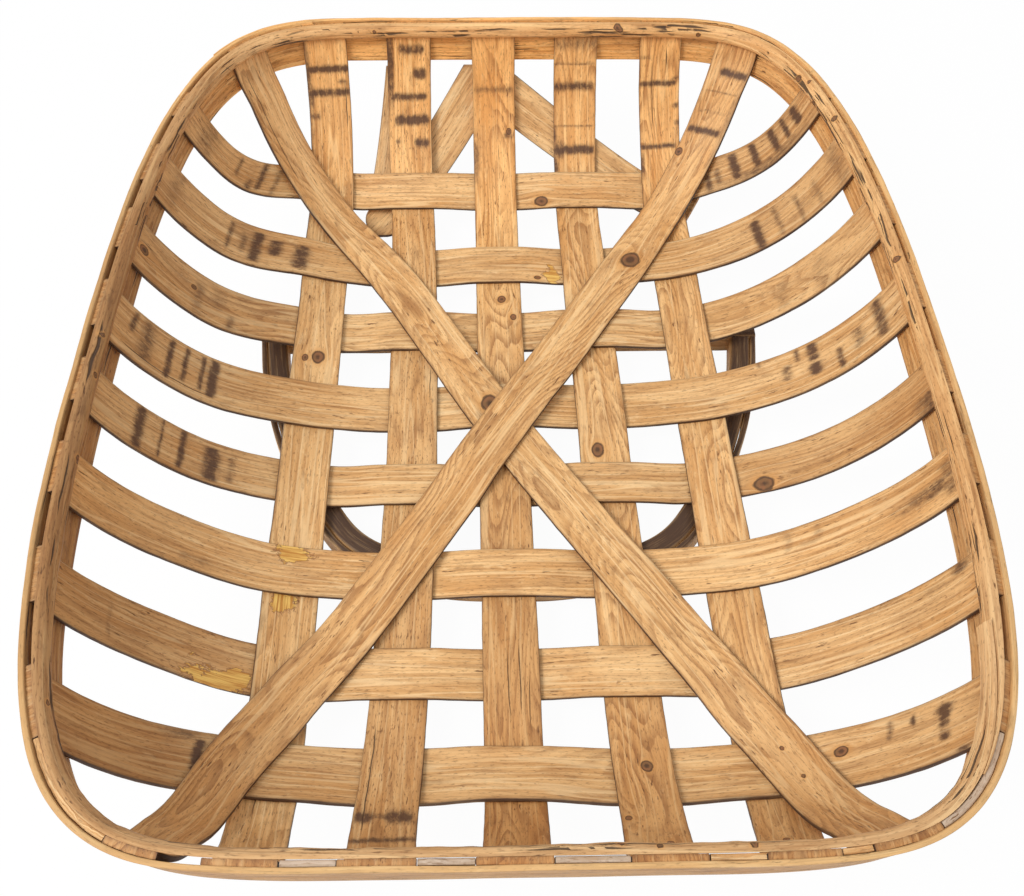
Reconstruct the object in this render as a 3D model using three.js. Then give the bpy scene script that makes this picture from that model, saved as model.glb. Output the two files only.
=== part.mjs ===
// Woven wooden tobacco tray: flat splints over and under each other, a bent rim and a bent foot.
// Millimetres, +Z up, X across, Y from the near end to the far end, bottom of the foot at Z = 0.
import * as THREE from 'three';

const radians = Math.PI / 180;

// Gaps that stay between pieces which touch
const contactGap = 0.3;
const weaveGap = 0.6;
const layGap = 0.8;
const gripGap = 0.5;

// Splints: thickness, level run past each splint they cross, level run inside the rim
const splintThickness = 3;
const crossingMargin = 6;
const gripHold = 4;
const stationStep = 14;

// Long splints from left to right. across is a share of the way from the tray's middle along the
// curved floor and wall to the rim; lean and bow shift a splint sideways over its length; its near
// and far ends are drawn aside where they climb to the rim.
const longSplints = [
  { across: -0.4588, width: 39.5, lean: -0.007, bow: 0, nearShift: 16, farShift: 0 },
  { across: -0.2244, width: 40, lean: -0.012, bow: -11, nearShift: 11, farShift: 7 },
  { across: -0.0184, width: 39.5, lean: -0.014, bow: 0, nearShift: -4, farShift: 0 },
  { across: 0.2075, width: 39.5, lean: -0.026, bow: 0, nearShift: -10, farShift: 0 },
  { across: 0.4362, width: 38, lean: -0.023, bow: 0, nearShift: -22, farShift: -5 },
];
const endDrawPower = 4;

// Cross splints from the far end to the near end, in the same way with left and right ends
const crossSplints = [
  { along: 0.6844, width: 35, lean: 0, leftShift: -34, rightShift: -14 },
  { along: 0.469, width: 45, lean: 0.008, leftShift: -17, rightShift: -1 },
  { along: 0.2788, width: 43.5, lean: 0.01, leftShift: -13, rightShift: 1 },
  { along: 0.0778, width: 45, lean: 0.012, leftShift: -6, rightShift: -2 },
  { along: -0.1077, width: 37.5, lean: 0, leftShift: -3, rightShift: -3 },
  { along: -0.2979, width: 39.5, lean: 0, leftShift: 4, rightShift: 3 },
  { along: -0.487, width: 38, lean: 0, leftShift: 5, rightShift: 2 },
  { along: -0.6691, width: 44.5, lean: -0.014, leftShift: -4, rightShift: -1 },
];
const sideShiftFrom = 170;
const sideShiftRun = 80;

// Floor of the tray and the walls it curves up into
const floorHalfWidth = 116;
const floorHalfLength = 240;
const sideLean = 16 * radians;
const endLean = 12 * radians;

// Rim: outer band, layer of splint ends, inner hoop
const rimHalfWidth = 298.5;
const rimHalfLength = 373;
const rimHeight = 138;
const sideFullness = 7.2;
const farFullness = 2.35;
const nearFullness = 2.8;
const bandHeight = 38;
const bandThickness = 3.2;
const hoopHeight = 12;
const hoopThickness = 5.5;
const hoopBackSlope = 1.2;
const hoopDrop = 1;
const splintDrop = 2;
const rimStations = 144;
const rimSamples = 1440;

// Corners of the half round hoop: share of its thickness inwards, share of its height down
const hoopProfile = [
  [0, 0],
  [0.45, 0.02],
  [0.85, 0.2],
  [1, 0.5],
  [0.85, 0.8],
  [0.45, 0.98],
  [0, 1],
];

// Joints where the bent strips of the rim close
const lapLength = 100;
const lapRun = 50;
const lapTip = 1;
const bandJointAt = 122 * radians;
const hoopJointAt = -47 * radians;

// Loose strips packed between the band and the hoop
const fillerHeight = 11;
const fillerThickness = 2.4;
const fillerSlack = 0.4;
const fillerEndGap = 3;

// Diagonal splints laid over the weave, from their far end to their near end. Their plan points are
// shares of the half width and half length of the line of the splint ends.
const diagonalWidth = 40;
const diagonalCross = [-0.0205, 0.019];
const lowerDiagonal = [
  [-0.8456, 0.9788], [-0.6921, 0.8184], [-0.5387, 0.6688], [-0.3341, 0.4541], diagonalCross,
  [0.3546, -0.435], [0.4978, -0.6145], [0.6001, -0.7722], [0.6819, -1.0223],
];
const upperDiagonal = [
  [0.7535, 0.9897], [0.6069, 0.8238], [0.491, 0.6852], [0.3546, 0.5084], diagonalCross,
  [-0.3682, -0.435], [-0.5285, -0.6172], [-0.6376, -0.783], [-0.6819, -1.0223],
];
const releaseRun = 20;
const bridgeRun = 45;

// Splints outside the far wall, laid straight between two places: a share of the half width across,
// and a share of the way from the tray's middle along the floor and wall to the rim
const braceRoom = 0.9;
const roundEndShare = 0.35;
const wallStationStep = 11;
const backing = { width: 39, top: [-0.3103, 0.9237], foot: [-0.3716, 0.694], isLevel: true, isRound: false };
const leftBrace = { width: 37, top: [-0.0307, 0.9237], foot: [-0.4296, 0.5983], isLevel: true, isRound: true };
const rightBrace = {
  width: 34, top: [-0.0102, 0.8783], foot: [0.5864, 0.6222], isLevel: false, isRound: false,
};

// Foot under the floor: an arched bow of two strips, closed by a bar under the third cross splint
const footHeight = 20;
const footHalfWidth = 214;
const footReach = 247;
const footBandThickness = 5;
const footBowWidth = 17;
const footBarWidth = 22;
const footStations = 44;
const footBarUnder = 2;
const footBarShift = 6;
// Outer line of the bow's right side, as shares of the foot's half width and of its reach from the
// bow's ends towards the near end
const footSide = [
  [1, 0], [0.9626, -0.1992], [0.8832, -0.4398], [0.7336, -0.7095], [0.5654, -0.8838], [0.2897, -0.9793],
];
const footTip = [0, -1];

const sheetZ = footHeight + contactGap + weaveGap / 2 + splintThickness;
const sheetInset = bandThickness + gripGap + splintThickness / 2;
const sheetTop = rimHeight - splintDrop;
const weaveLift = (splintThickness + weaveGap) / 2;

const woodColours = {
  light: 0xc99a5e,
  honey: 0xb98850,
  brown: 0x93693f,
  rim: 0xc7a06b,
  foot: 0xb48a57,
};

function woodMaterial(colour) {
  return new THREE.MeshStandardMaterial({ color: colour, roughness: 0.72, metalness: 0 });
}

function clamp(value, low, high) {
  return Math.min(Math.max(value, low), high);
}

function mix(from, to, share) {
  return from + (to - from) * share;
}

function easeInOut(share) {
  return (1 - Math.cos(Math.PI * clamp(share, 0, 1))) / 2;
}

// Length of a curved floor and wall, from the tray's middle to the rim
function wallArc(flat, reach, lean) {
  return flat + (reach - flat) / Math.cos(lean) * (Math.PI / 2 - lean);
}

// Line of the splint ends: half width and half length of the layer between the band and the hoop
const endsHalfWidth = rimHalfWidth - sheetInset;
const endsHalfLength = rimHalfLength - sheetInset;
const sideArc = wallArc(floorHalfWidth, endsHalfWidth, sideLean);
const endArc = wallArc(floorHalfLength, endsHalfLength, endLean);

function endFullness(y) {
  return y < 0 ? nearFullness : farFullness;
}

function endsX(y) {
  const along = Math.min(Math.abs(y / endsHalfLength), 1) ** endFullness(y);
  return endsHalfWidth * (1 - along) ** (1 / sideFullness);
}

// Distance along the tray to the line of the splint ends, on the near side or the far side of y
function endsY(x, y) {
  const across = Math.min(Math.abs(x / endsHalfWidth), 1) ** sideFullness;
  return endsHalfLength * (1 - across) ** (1 / endFullness(y));
}

function isInside(x, y) {
  return Math.abs(x / endsHalfWidth) ** sideFullness + Math.abs(y / endsHalfLength) ** endFullness(y) < 1;
}

// Largest value, on the way from one that holds to one that does not, for which a test still holds
function lastThatHolds(holds, inside, outside) {
  let [good, bad] = [inside, outside];
  while (Math.abs(bad - good) > 1e-6) {
    const middle = (good + bad) / 2;
    if (holds(middle)) {
      good = middle;
    } else {
      bad = middle;
    }
  }
  return good;
}

// Height on a wall that curves up from the flat floor, at a share of the way to the splint ends
function wallRise(share, lean) {
  const slope = Math.asin(Math.min(share * Math.cos(lean), 1));
  return sheetTop * (1 - Math.cos(slope)) / (1 - Math.sin(lean));
}

// Place across a wall, from the distance along its curve
function wallPlace(distance, flat, reach, lean) {
  const size = Math.abs(distance);
  if (size <= flat) {
    return distance;
  }
  const radius = (reach - flat) / Math.cos(lean);
  const slope = Math.min((size - flat) / radius, Math.PI / 2 - lean);
  return Math.sign(distance) * (flat + radius * Math.sin(slope));
}

// Plan place across the tray of a long splint's middle, or of a line beside its middle
function longX(index, y, offset = 0) {
  const { across, lean, bow, nearShift, farShift } = longSplints[index];
  const x = wallPlace(across * sideArc + offset, floorHalfWidth, endsHalfWidth, sideLean);
  const climb = clamp((Math.abs(y) - floorHalfLength) / (endsHalfLength - floorHalfLength), 0, 1);
  const endShift = (y < 0 ? nearShift : farShift) * climb ** endDrawPower;
  return x + lean * y + bow * (y / endsHalfLength) ** 2 + endShift;
}

// Plan place along the tray of a cross splint's middle, or of a line beside its middle
function crossY(index, x, offset = 0) {
  const { along, lean, leftShift, rightShift } = crossSplints[index];
  const y = wallPlace(along * endArc + offset, floorHalfLength, endsHalfLength, endLean);
  const sideShift = (x < 0 ? leftShift : rightShift) * easeInOut((Math.abs(x) - sideShiftFrom) / sideShiftRun);
  return y + lean * x + sideShift;
}

// Height of the woven sheet's middle over the floor. At a corner of the tray the wall fans out
// from the corner of its flat floor, and its lean changes from that of the side to that of the end.
function sheetHeight(x, y) {
  const outX = Math.max(Math.abs(x) - floorHalfWidth, 0);
  const outY = Math.max(Math.abs(y) - floorHalfLength, 0);
  if (outX === 0 && outY === 0) {
    return 0;
  }
  if (outY === 0) {
    return wallRise(outX / (endsX(y) - floorHalfWidth), sideLean);
  }
  if (outX === 0) {
    return wallRise(outY / (endsY(x, y) - floorHalfLength), endLean);
  }
  const out = Math.hypot(outX, outY);
  const holds = (reach) => isInside(
    floorHalfWidth + outX / out * reach,
    Math.sign(y) * (floorHalfLength + outY / out * reach),
  );
  const reach = lastThatHolds(holds, 0, endsHalfLength);
  return wallRise(out / reach, mix(sideLean, endLean, (outY / out) ** 2));
}

function sheetNormal(x, y) {
  const reach = 0.4;
  const slopeX = (sheetHeight(x + reach, y) - sheetHeight(x - reach, y)) / (2 * reach);
  const slopeY = (sheetHeight(x, y + reach) - sheetHeight(x, y - reach)) / (2 * reach);
  return new THREE.Vector3(-slopeX, -slopeY, 1).normalize();
}

// Point of the sheet, lifted off its middle along the normal
function sheetPoint(x, y, lift) {
  const normal = sheetNormal(x, y);
  const place = new THREE.Vector3(x, y, sheetZ + sheetHeight(x, y)).addScaledVector(normal, lift);
  return { place, normal };
}

// Closed mesh from corner points and triangles, turned so that its faces point out
function closedMesh(name, points, triangles, colour) {
  let volume = 0;
  for (const [a, b, c] of triangles) {
    volume += points[a].dot(new THREE.Vector3().crossVectors(points[b], points[c]));
  }
  const turned = volume < 0 ? triangles.map(([a, b, c]) => [a, c, b]) : triangles;
  const geometry = new THREE.BufferGeometry();
  const places = points.flatMap((point) => point.toArray());
  geometry.setAttribute('position', new THREE.Float32BufferAttribute(places, 3));
  geometry.setIndex(turned.flat());
  geometry.computeVertexNormals();
  const mesh = new THREE.Mesh(geometry, woodMaterial(colour));
  mesh.name = name;
  return mesh;
}

// End face of a section whose corners fan out from the first one
function fanFace(corners) {
  return Array.from({ length: corners - 2 }, (_, corner) => [0, corner + 1, corner + 2]);
}

// End face of a strip's section: a ladder between its upper corners and the lower ones that face them
function ladderFace(corners) {
  const triangles = [];
  for (let corner = 0; corner + 1 < corners / 2; corner += 1) {
    const below = corners - 1 - corner;
    triangles.push([corner, corner + 1, below - 1], [corner, below - 1, below]);
  }
  return triangles;
}

// Solid swept through sections that all have the same number of corners
function sweptSolid(name, sections, endFace, colour) {
  const corners = sections[0].length;
  const triangles = [];
  for (let station = 0; station + 1 < sections.length; station += 1) {
    for (let corner = 0; corner < corners; corner += 1) {
      const next = (corner + 1) % corners;
      const here = station * corners;
      const there = here + corners;
      triangles.push([here + corner, here + next, there + next]);
      triangles.push([here + corner, there + next, there + corner]);
    }
  }
  const last = (sections.length - 1) * corners;
  for (const [a, b, c] of endFace(corners)) {
    triangles.push([a, c, b], [last + a, last + b, last + c]);
  }
  return closedMesh(name, sections.flat(), triangles, colour);
}

// Strip of even thickness about a grid of middle points, each with its own normal
function stripSolid(name, stations, colour) {
  const half = splintThickness / 2;
  const sections = stations.map((station) => {
    const upper = station.map(({ place, normal }) => place.clone().addScaledVector(normal, half));
    const lower = station.map(({ place, normal }) => place.clone().addScaledVector(normal, -half));
    return [...upper, ...lower.reverse()];
  });
  return sweptSolid(name, sections, ladderFace, colour);
}

// Line along a splint, cut where it leaves the outline of the splint layer
function cutRow(placeAt, from, middle, to) {
  const holds = (value) => isInside(...placeAt(value));
  return { placeAt, start: lastThatHolds(holds, middle, from), end: lastThatHolds(holds, middle, to) };
}

// Even steps over the curved length of a row, as shares of its range
function evenShares(row) {
  const samples = 600;
  const pointAt = (sample) => {
    const [x, y] = row.placeAt(mix(row.start, row.end, sample / samples));
    return new THREE.Vector3(x, y, sheetHeight(x, y));
  };
  const lengths = [0];
  let last = pointAt(0);
  for (let sample = 1; sample <= samples; sample += 1) {
    const here = pointAt(sample);
    lengths.push(lengths[sample - 1] + here.distanceTo(last));
    last = here;
  }
  const total = lengths[samples];
  const count = Math.ceil(total / stationStep);
  const shareAt = (station) => placeInList(lengths, total * station / count) / samples;
  return Array.from({ length: count + 1 }, (_, station) => shareAt(station));
}

// Where a value falls in a rising list, as an index with a fraction
function placeInList(list, value) {
  let low = 0;
  let high = list.length - 1;
  while (high - low > 1) {
    const middle = Math.floor((low + high) / 2);
    if (list[middle] <= value) {
      low = middle;
    } else {
      high = middle;
    }
  }
  return low + clamp((value - list[low]) / (list[high] - list[low]), 0, 1);
}

// Splint over the sheet, from its rows and the lift at each point
function layStrip(name, rows, liftAt, colour) {
  const middle = rows[Math.floor(rows.length / 2)];
  const stations = evenShares(middle).map((share) => rows.map((row) => {
    const value = mix(row.start, row.end, share);
    const [x, y] = row.placeAt(value);
    return sheetPoint(x, y, liftAt(x, y, row));
  }));
  return stripSolid(name, stations, colour);
}

// Lift at a place between crossings, each of which holds its own level
function liftBetween(place, crossings) {
  let before = crossings[0];
  for (const after of crossings.slice(1)) {
    if (place <= after.at - after.hold) {
      const share = (place - before.at - before.hold) / (after.at - after.hold - before.at - before.hold);
      return mix(before.lift, after.lift, easeInOut(share));
    }
    if (place < after.at + after.hold) {
      return after.lift;
    }
    before = after;
  }
  return before.lift;
}

function isLongOver(longIndex, crossIndex) {
  return (longIndex + crossIndex) % 2 === 0;
}

// Places across a splint's width, from one edge to the other
function rowOffsets(width, spans) {
  return Array.from({ length: spans + 1 }, (_, row) => (row / spans - 0.5) * width);
}

function longRows(index) {
  const { across, width } = longSplints[index];
  const spans = Math.abs(across) * sideArc + width / 2 > floorHalfWidth ? 3 : 1;
  return rowOffsets(width, spans).map((offset) => {
    const placeAt = (y) => [longX(index, y, offset), y];
    return cutRow(placeAt, -endsHalfLength, 0, endsHalfLength);
  });
}

function longSplint(index) {
  const liftAt = (x, y, row) => {
    const crossings = crossSplints.map(({ width }, crossIndex) => ({
      at: crossY(crossIndex, x),
      hold: width / 2 + crossingMargin,
      lift: isLongOver(index, crossIndex) ? weaveLift : -weaveLift,
    })).reverse();
    const near = { at: row.start, hold: gripHold, lift: 0 };
    const far = { at: row.end, hold: gripHold, lift: 0 };
    return liftBetween(y, [near, ...crossings, far]);
  };
  const colour = index === 2 || index === 3 ? woodColours.light : woodColours.honey;
  return layStrip(`long_splint_${index + 1}`, longRows(index), liftAt, colour);
}

function crossRows(index) {
  const { along, width } = crossSplints[index];
  const spans = Math.abs(along) * endArc + width / 2 > floorHalfLength ? 3 : 1;
  return rowOffsets(width, spans).map((offset) => {
    const placeAt = (x) => [x, crossY(index, x, offset)];
    return cutRow(placeAt, -endsHalfWidth, 0, endsHalfWidth);
  });
}

function crossSplint(index) {
  const liftAt = (x, y, row) => {
    const crossings = longSplints.map(({ width }, longIndex) => ({
      at: longX(longIndex, y),
      hold: width / 2 + crossingMargin,
      lift: isLongOver(longIndex, index) ? -weaveLift : weaveLift,
    }));
    const left = { at: row.start, hold: gripHold, lift: 0 };
    const right = { at: row.end, hold: gripHold, lift: 0 };
    return liftBetween(x, [left, ...crossings, right]);
  };
  const colour = index < 4 ? woodColours.honey : woodColours.brown;
  return layStrip(`cross_splint_${index + 1}`, crossRows(index), liftAt, colour);
}

function planPlace([across, along]) {
  return new THREE.Vector2(across * endsHalfWidth, along * endsHalfLength);
}

// Plan curve of a diagonal, and its rows set aside by their distance along the sloping sheet
function diagonalCurve(points) {
  return new THREE.SplineCurve(points.map(planPlace));
}

function diagonalRows(points) {
  const curve = diagonalCurve(points);
  const middle = points.indexOf(diagonalCross) / (points.length - 1);
  return rowOffsets(diagonalWidth, 4).map((offset) => {
    const placeAt = (share) => {
      const { x, y } = curve.getPoint(share);
      const heading = curve.getTangent(share);
      const [asideX, asideY] = [heading.y, -heading.x];
      const rise = sheetHeight(x + asideX, y + asideY) - sheetHeight(x - asideX, y - asideY);
      const plan = offset / Math.hypot(1, rise / 2);
      return [x + asideX * plan, y + asideY * plan];
    };
    return cutRow(placeAt, 0, middle, 1);
  });
}

function headingAtCross(points) {
  return diagonalCurve(points).getTangent(points.indexOf(diagonalCross) / (points.length - 1));
}

// Diagonal over the weave; the upper one also rises over the lower one where they cross
function diagonalSplint(name, points, isUpper) {
  const heading = headingAtCross(points);
  const angleBetween = Math.PI - headingAtCross(lowerDiagonal).angleTo(headingAtCross(upperDiagonal));
  const overlap = 1 / Math.sin(angleBetween) + Math.abs(1 / Math.tan(angleBetween));
  const hold = diagonalWidth / 2 * overlap + gripHold;
  const layer = splintThickness + layGap;
  const rest = weaveLift + layer;
  const cross = planPlace(diagonalCross);
  const liftAt = (x, y, row) => {
    const run = Math.abs(new THREE.Vector2(x, y).sub(cross).dot(heading));
    const toEnd = Math.min(...[row.start, row.end].map((value) => {
      const [endX, endY] = row.placeAt(value);
      return Math.hypot(x - endX, y - endY);
    }));
    const bridge = isUpper ? layer * (1 - easeInOut((run - hold) / bridgeRun)) : 0;
    return (rest + bridge) * easeInOut((toEnd - gripHold) / (releaseRun - gripHold));
  };
  return layStrip(name, diagonalRows(points), liftAt, isUpper ? woodColours.honey : woodColours.brown);
}

// Splint outside the far wall. Its top end is cut level with the rim or square; its foot can be round.
function wallStrip(name, { width, top, foot, isLevel, isRound }, layer) {
  const lift = -(weaveLift + splintThickness + braceRoom + layer * (splintThickness + layGap));
  const [topAcross, topAlong] = [top[0] * endsHalfWidth, top[1] * endArc];
  const [runAcross, runAlong] = [foot[0] * endsHalfWidth - topAcross, foot[1] * endArc - topAlong];
  const length = Math.hypot(runAcross, runAlong);
  const [headAcross, headAlong] = [runAcross / length, runAlong / length];
  const count = Math.ceil(length / wallStationStep);
  const stations = Array.from({ length: count + 1 }, (_, station) => {
    const share = station / count;
    const left = Math.min((1 - share) * length / (width / 2), 1);
    const narrowing = isRound ? Math.max(Math.sqrt(1 - (1 - left) ** 2), roundEndShare) : 1;
    return rowOffsets(width * narrowing, 2).map((offset) => {
      const level = isLevel ? offset * headAcross / headAlong * (1 - share) : 0;
      const across = topAcross + runAcross * share - offset * headAlong - level * headAcross;
      const along = topAlong + runAlong * share + offset * headAcross - level * headAlong;
      return sheetPoint(across, wallPlace(along, floorHalfLength, endsY(across, 1), endLean), lift);
    });
  });
  return stripSolid(name, stations, woodColours.honey);
}

// Where a plan direction meets the line of the splint ends: its place there, the way straight out
// and the splints' own lean
function rimBase(angle) {
  const heading = new THREE.Vector2(Math.cos(angle), Math.sin(angle));
  const holds = (reach) => isInside(heading.x * reach, heading.y * reach);
  const { x, y } = heading.multiplyScalar(lastThatHolds(holds, 0, endsHalfWidth + endsHalfLength));
  const out = new THREE.Vector2(
    Math.sign(x) * sideFullness * Math.abs(x / endsHalfWidth) ** (sideFullness - 1) / endsHalfWidth,
    Math.sign(y) * endFullness(y) * Math.abs(y / endsHalfLength) ** (endFullness(y) - 1) / endsHalfLength,
  ).normalize();
  const lean = 1 / (sheetHeight(x, y) - sheetHeight(x - out.x, y - out.y));
  return { x, y, out, lean };
}

// Point of the rim at a plan angle and a height over the floor, an inset in from its outer face
function rimPoint(angle, height, inset) {
  const { x, y, out, lean } = rimBase(angle);
  const aside = sheetInset - inset - (sheetTop - height) * lean;
  return new THREE.Vector3(x + out.x * aside, y + out.y * aside, sheetZ + height);
}

// Length round the rim up to each sampled plan angle
function rimLengths() {
  const lengths = [0];
  let last = rimPoint(0, rimHeight, 0);
  for (let sample = 1; sample <= rimSamples; sample += 1) {
    const here = rimPoint(2 * Math.PI * sample / rimSamples, rimHeight, 0);
    lengths.push(lengths[sample - 1] + here.distanceTo(last));
    last = here;
  }
  return lengths;
}

const lengthsRound = rimLengths();
const rimLength = lengthsRound[rimSamples];

function angleAtLength(distance) {
  const turns = Math.floor(distance / rimLength);
  const sample = placeInList(lengthsRound, distance - turns * rimLength);
  return 2 * Math.PI * (turns + sample / rimSamples);
}

function lengthAtAngle(angle) {
  const turns = Math.floor(angle / (2 * Math.PI));
  const sample = (angle / (2 * Math.PI) - turns) * rimSamples;
  const low = Math.min(Math.floor(sample), rimSamples - 1);
  return turns * rimLength + mix(lengthsRound[low], lengthsRound[low + 1], sample - low);
}

// Distances along a closed strip whose ends overlap
function closedRun() {
  const total = rimLength + lapLength;
  const count = Math.round(total / rimLength * rimStations);
  return Array.from({ length: count + 1 }, (_, station) => total * station / count);
}

// How far the strip is into its joint: its tapered head, its tapered tail, and the tail's step aside
function jointShares(distance) {
  return {
    head: clamp(distance / lapLength, 0, 1),
    tail: clamp((distance - rimLength) / lapLength, 0, 1),
    aside: easeInOut((distance - rimLength + lapRun) / lapRun),
  };
}

// Outer band: its tail lies outside its head in a tapered lap
function rimBand() {
  const from = lengthAtAngle(bandJointAt) - lapLength / 2;
  const bottom = rimHeight - bandHeight;
  const sections = closedRun().map((distance) => {
    const angle = angleAtLength(from + distance);
    const { head, tail, aside } = jointShares(distance);
    const headOuter = mix(bandThickness - lapTip, 0, head);
    const tailInner = mix(bandThickness - lapTip, 0, tail) - contactGap;
    const outer = mix(headOuter, -lapTip - contactGap, aside);
    const inner = mix(bandThickness, tailInner, aside);
    return [
      rimPoint(angle, rimHeight, outer),
      rimPoint(angle, rimHeight, inner),
      rimPoint(angle, bottom, inner),
      rimPoint(angle, bottom, outer),
    ];
  });
  return sweptSolid('rim_band', sections, fanFace, woodColours.rim);
}

// Inner hoop: half round, its tail lies inside its head in a tapered joint
function rimHoop() {
  const from = lengthAtAngle(hoopJointAt) - lapLength / 2;
  const back = sheetInset + splintThickness / 2 + gripGap;
  const sections = closedRun().map((distance) => {
    const angle = angleAtLength(from + distance);
    const { head, tail, aside } = jointShares(distance);
    const headThickness = mix(lapTip, hoopThickness, head);
    const thickness = mix(headThickness, mix(hoopThickness, lapTip, tail), aside);
    const shift = aside * (mix(lapTip, hoopThickness, tail) + contactGap);
    return hoopProfile.map(([inward, down]) => rimPoint(
      angle,
      rimHeight - hoopDrop - hoopHeight * down,
      back + hoopBackSlope * down + shift + thickness * inward,
    ));
  });
  return sweptSolid('rim_hoop', sections, fanFace, woodColours.rim);
}

// Plan angles of one end of a splint at the rim
function endAngles(rows, end) {
  return rows.map((row) => {
    const [x, y] = row.placeAt(row[end]);
    return (Math.atan2(y, x) + 2 * Math.PI) % (2 * Math.PI);
  });
}

// Loose strip in the layer of the splint ends, filling the way between two of them
function rimFiller(name, endsBefore, endsAfter, colour) {
  const from = lengthAtAngle(Math.max(...endsBefore)) + fillerEndGap;
  const to = lengthAtAngle(Math.min(...endsAfter)) - fillerEndGap;
  const count = Math.max(2, Math.ceil((to - from) / (rimLength / rimStations)));
  const outer = bandThickness + fillerSlack;
  const inner = outer + fillerThickness;
  const top = rimHeight - splintDrop;
  const sections = Array.from({ length: count + 1 }, (_, station) => {
    const angle = angleAtLength(mix(from, to, station / count));
    return [
      rimPoint(angle, top, outer),
      rimPoint(angle, top, inner),
      rimPoint(angle, top - fillerHeight, inner),
      rimPoint(angle, top - fillerHeight, outer),
    ];
  });
  return sweptSolid(name, sections, fanFace, colour);
}

const footBarY = crossY(footBarUnder, 0) + footBarShift;
const bowEndY = footBarY - footBarWidth / 2 - contactGap;

const footCurve = new THREE.SplineCurve([
  ...footSide,
  footTip,
  ...footSide.map(([across, along]) => [-across, along]).reverse(),
].map(([across, along]) => new THREE.Vector2(across * footHalfWidth, bowEndY + along * footReach)));

// Arched strip of the foot between two distances in from its outer line, with its ends cut square
// to the tray
function footArch(name, outer, inner, colour) {
  const sections = Array.from({ length: footStations + 1 }, (_, station) => {
    const share = station / footStations;
    const { x, y } = footCurve.getPointAt(share);
    const heading = footCurve.getTangentAt(share);
    const isEnd = station === 0 || station === footStations;
    const inward = isEnd ? new THREE.Vector2(-Math.sign(x), 0) : new THREE.Vector2(heading.y, -heading.x);
    const place = (inset, height) => new THREE.Vector3(x + inward.x * inset, y + inward.y * inset, height);
    return [place(outer, footHeight), place(inner, footHeight), place(inner, 0), place(outer, 0)];
  });
  return sweptSolid(name, sections, fanFace, colour);
}

function footBar() {
  const geometry = new THREE.BoxGeometry(2 * footHalfWidth, footBarWidth, footHeight);
  const mesh = new THREE.Mesh(geometry, woodMaterial(woodColours.foot));
  mesh.name = 'foot_bar';
  mesh.position.set(0, footBarY, footHeight / 2);
  return mesh;
}

const weave = new THREE.Group();
longSplints.forEach((_, index) => weave.add(longSplint(index)));
crossSplints.forEach((_, index) => weave.add(crossSplint(index)));
weave.add(diagonalSplint('diagonal_splint_lower', lowerDiagonal, false));
weave.add(diagonalSplint('diagonal_splint_upper', upperDiagonal, true));

const rim = new THREE.Group();
rim.add(rimBand());
rim.add(rimHoop());
const lowerNearEnd = endAngles(diagonalRows(lowerDiagonal), 'end');
const nearEnds = [...longSplints.map((_, index) => endAngles(longRows(index), 'start')), lowerNearEnd];
nearEnds.slice(1).forEach((after, index) => {
  const colour = index < 3 ? woodColours.rim : woodColours.honey;
  rim.add(rimFiller(`rim_filler_near_${index + 1}`, nearEnds[index], after, colour));
});
const nearCross = crossRows(crossSplints.length - 1);
rim.add(rimFiller('rim_filler_right_corner', lowerNearEnd, endAngles(nearCross, 'end'), woodColours.foot));
rim.add(rimFiller(
  'rim_filler_left_corner',
  endAngles(nearCross, 'start'),
  endAngles(diagonalRows(upperDiagonal), 'end'),
  woodColours.rim,
));

const braces = new THREE.Group();
braces.add(wallStrip('far_backing_splint', backing, 0));
braces.add(wallStrip('far_brace_left', leftBrace, 1));
braces.add(wallStrip('far_brace_right', rightBrace, 0));

const foot = new THREE.Group();
const bowInset = footBandThickness + contactGap;
foot.add(footArch('foot_band', 0, footBandThickness, woodColours.foot));
foot.add(footArch('foot_bow', bowInset, bowInset + footBowWidth, woodColours.foot));
foot.add(footBar());

const tray = new THREE.Group();
tray.add(weave, rim, braces, foot);

export default tray;
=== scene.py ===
import math
import bpy
import numpy as np
from mathutils import Matrix


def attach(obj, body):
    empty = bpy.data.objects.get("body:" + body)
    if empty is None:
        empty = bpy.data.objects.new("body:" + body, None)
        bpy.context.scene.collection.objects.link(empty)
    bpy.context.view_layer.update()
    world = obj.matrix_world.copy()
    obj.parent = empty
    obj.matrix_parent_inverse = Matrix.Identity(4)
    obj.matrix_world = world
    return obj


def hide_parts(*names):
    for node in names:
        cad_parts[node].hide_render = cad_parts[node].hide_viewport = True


# Woven wooden tobacco tray. Every surface is worked out with numpy in millimetres, on the same
# curved floor and walls as the CAD model, and written to its mesh in metres.

millimetre = 0.001             # in metres, the unit of the scene

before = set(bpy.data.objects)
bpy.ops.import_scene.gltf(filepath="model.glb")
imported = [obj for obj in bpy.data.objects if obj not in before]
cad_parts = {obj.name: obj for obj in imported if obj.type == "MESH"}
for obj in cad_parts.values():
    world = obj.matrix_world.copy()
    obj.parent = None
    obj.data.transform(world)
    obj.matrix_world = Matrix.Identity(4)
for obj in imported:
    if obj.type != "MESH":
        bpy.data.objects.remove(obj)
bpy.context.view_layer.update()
print("frame loaded:", len(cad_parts), "CAD nodes")


# Form of the tray

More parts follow.
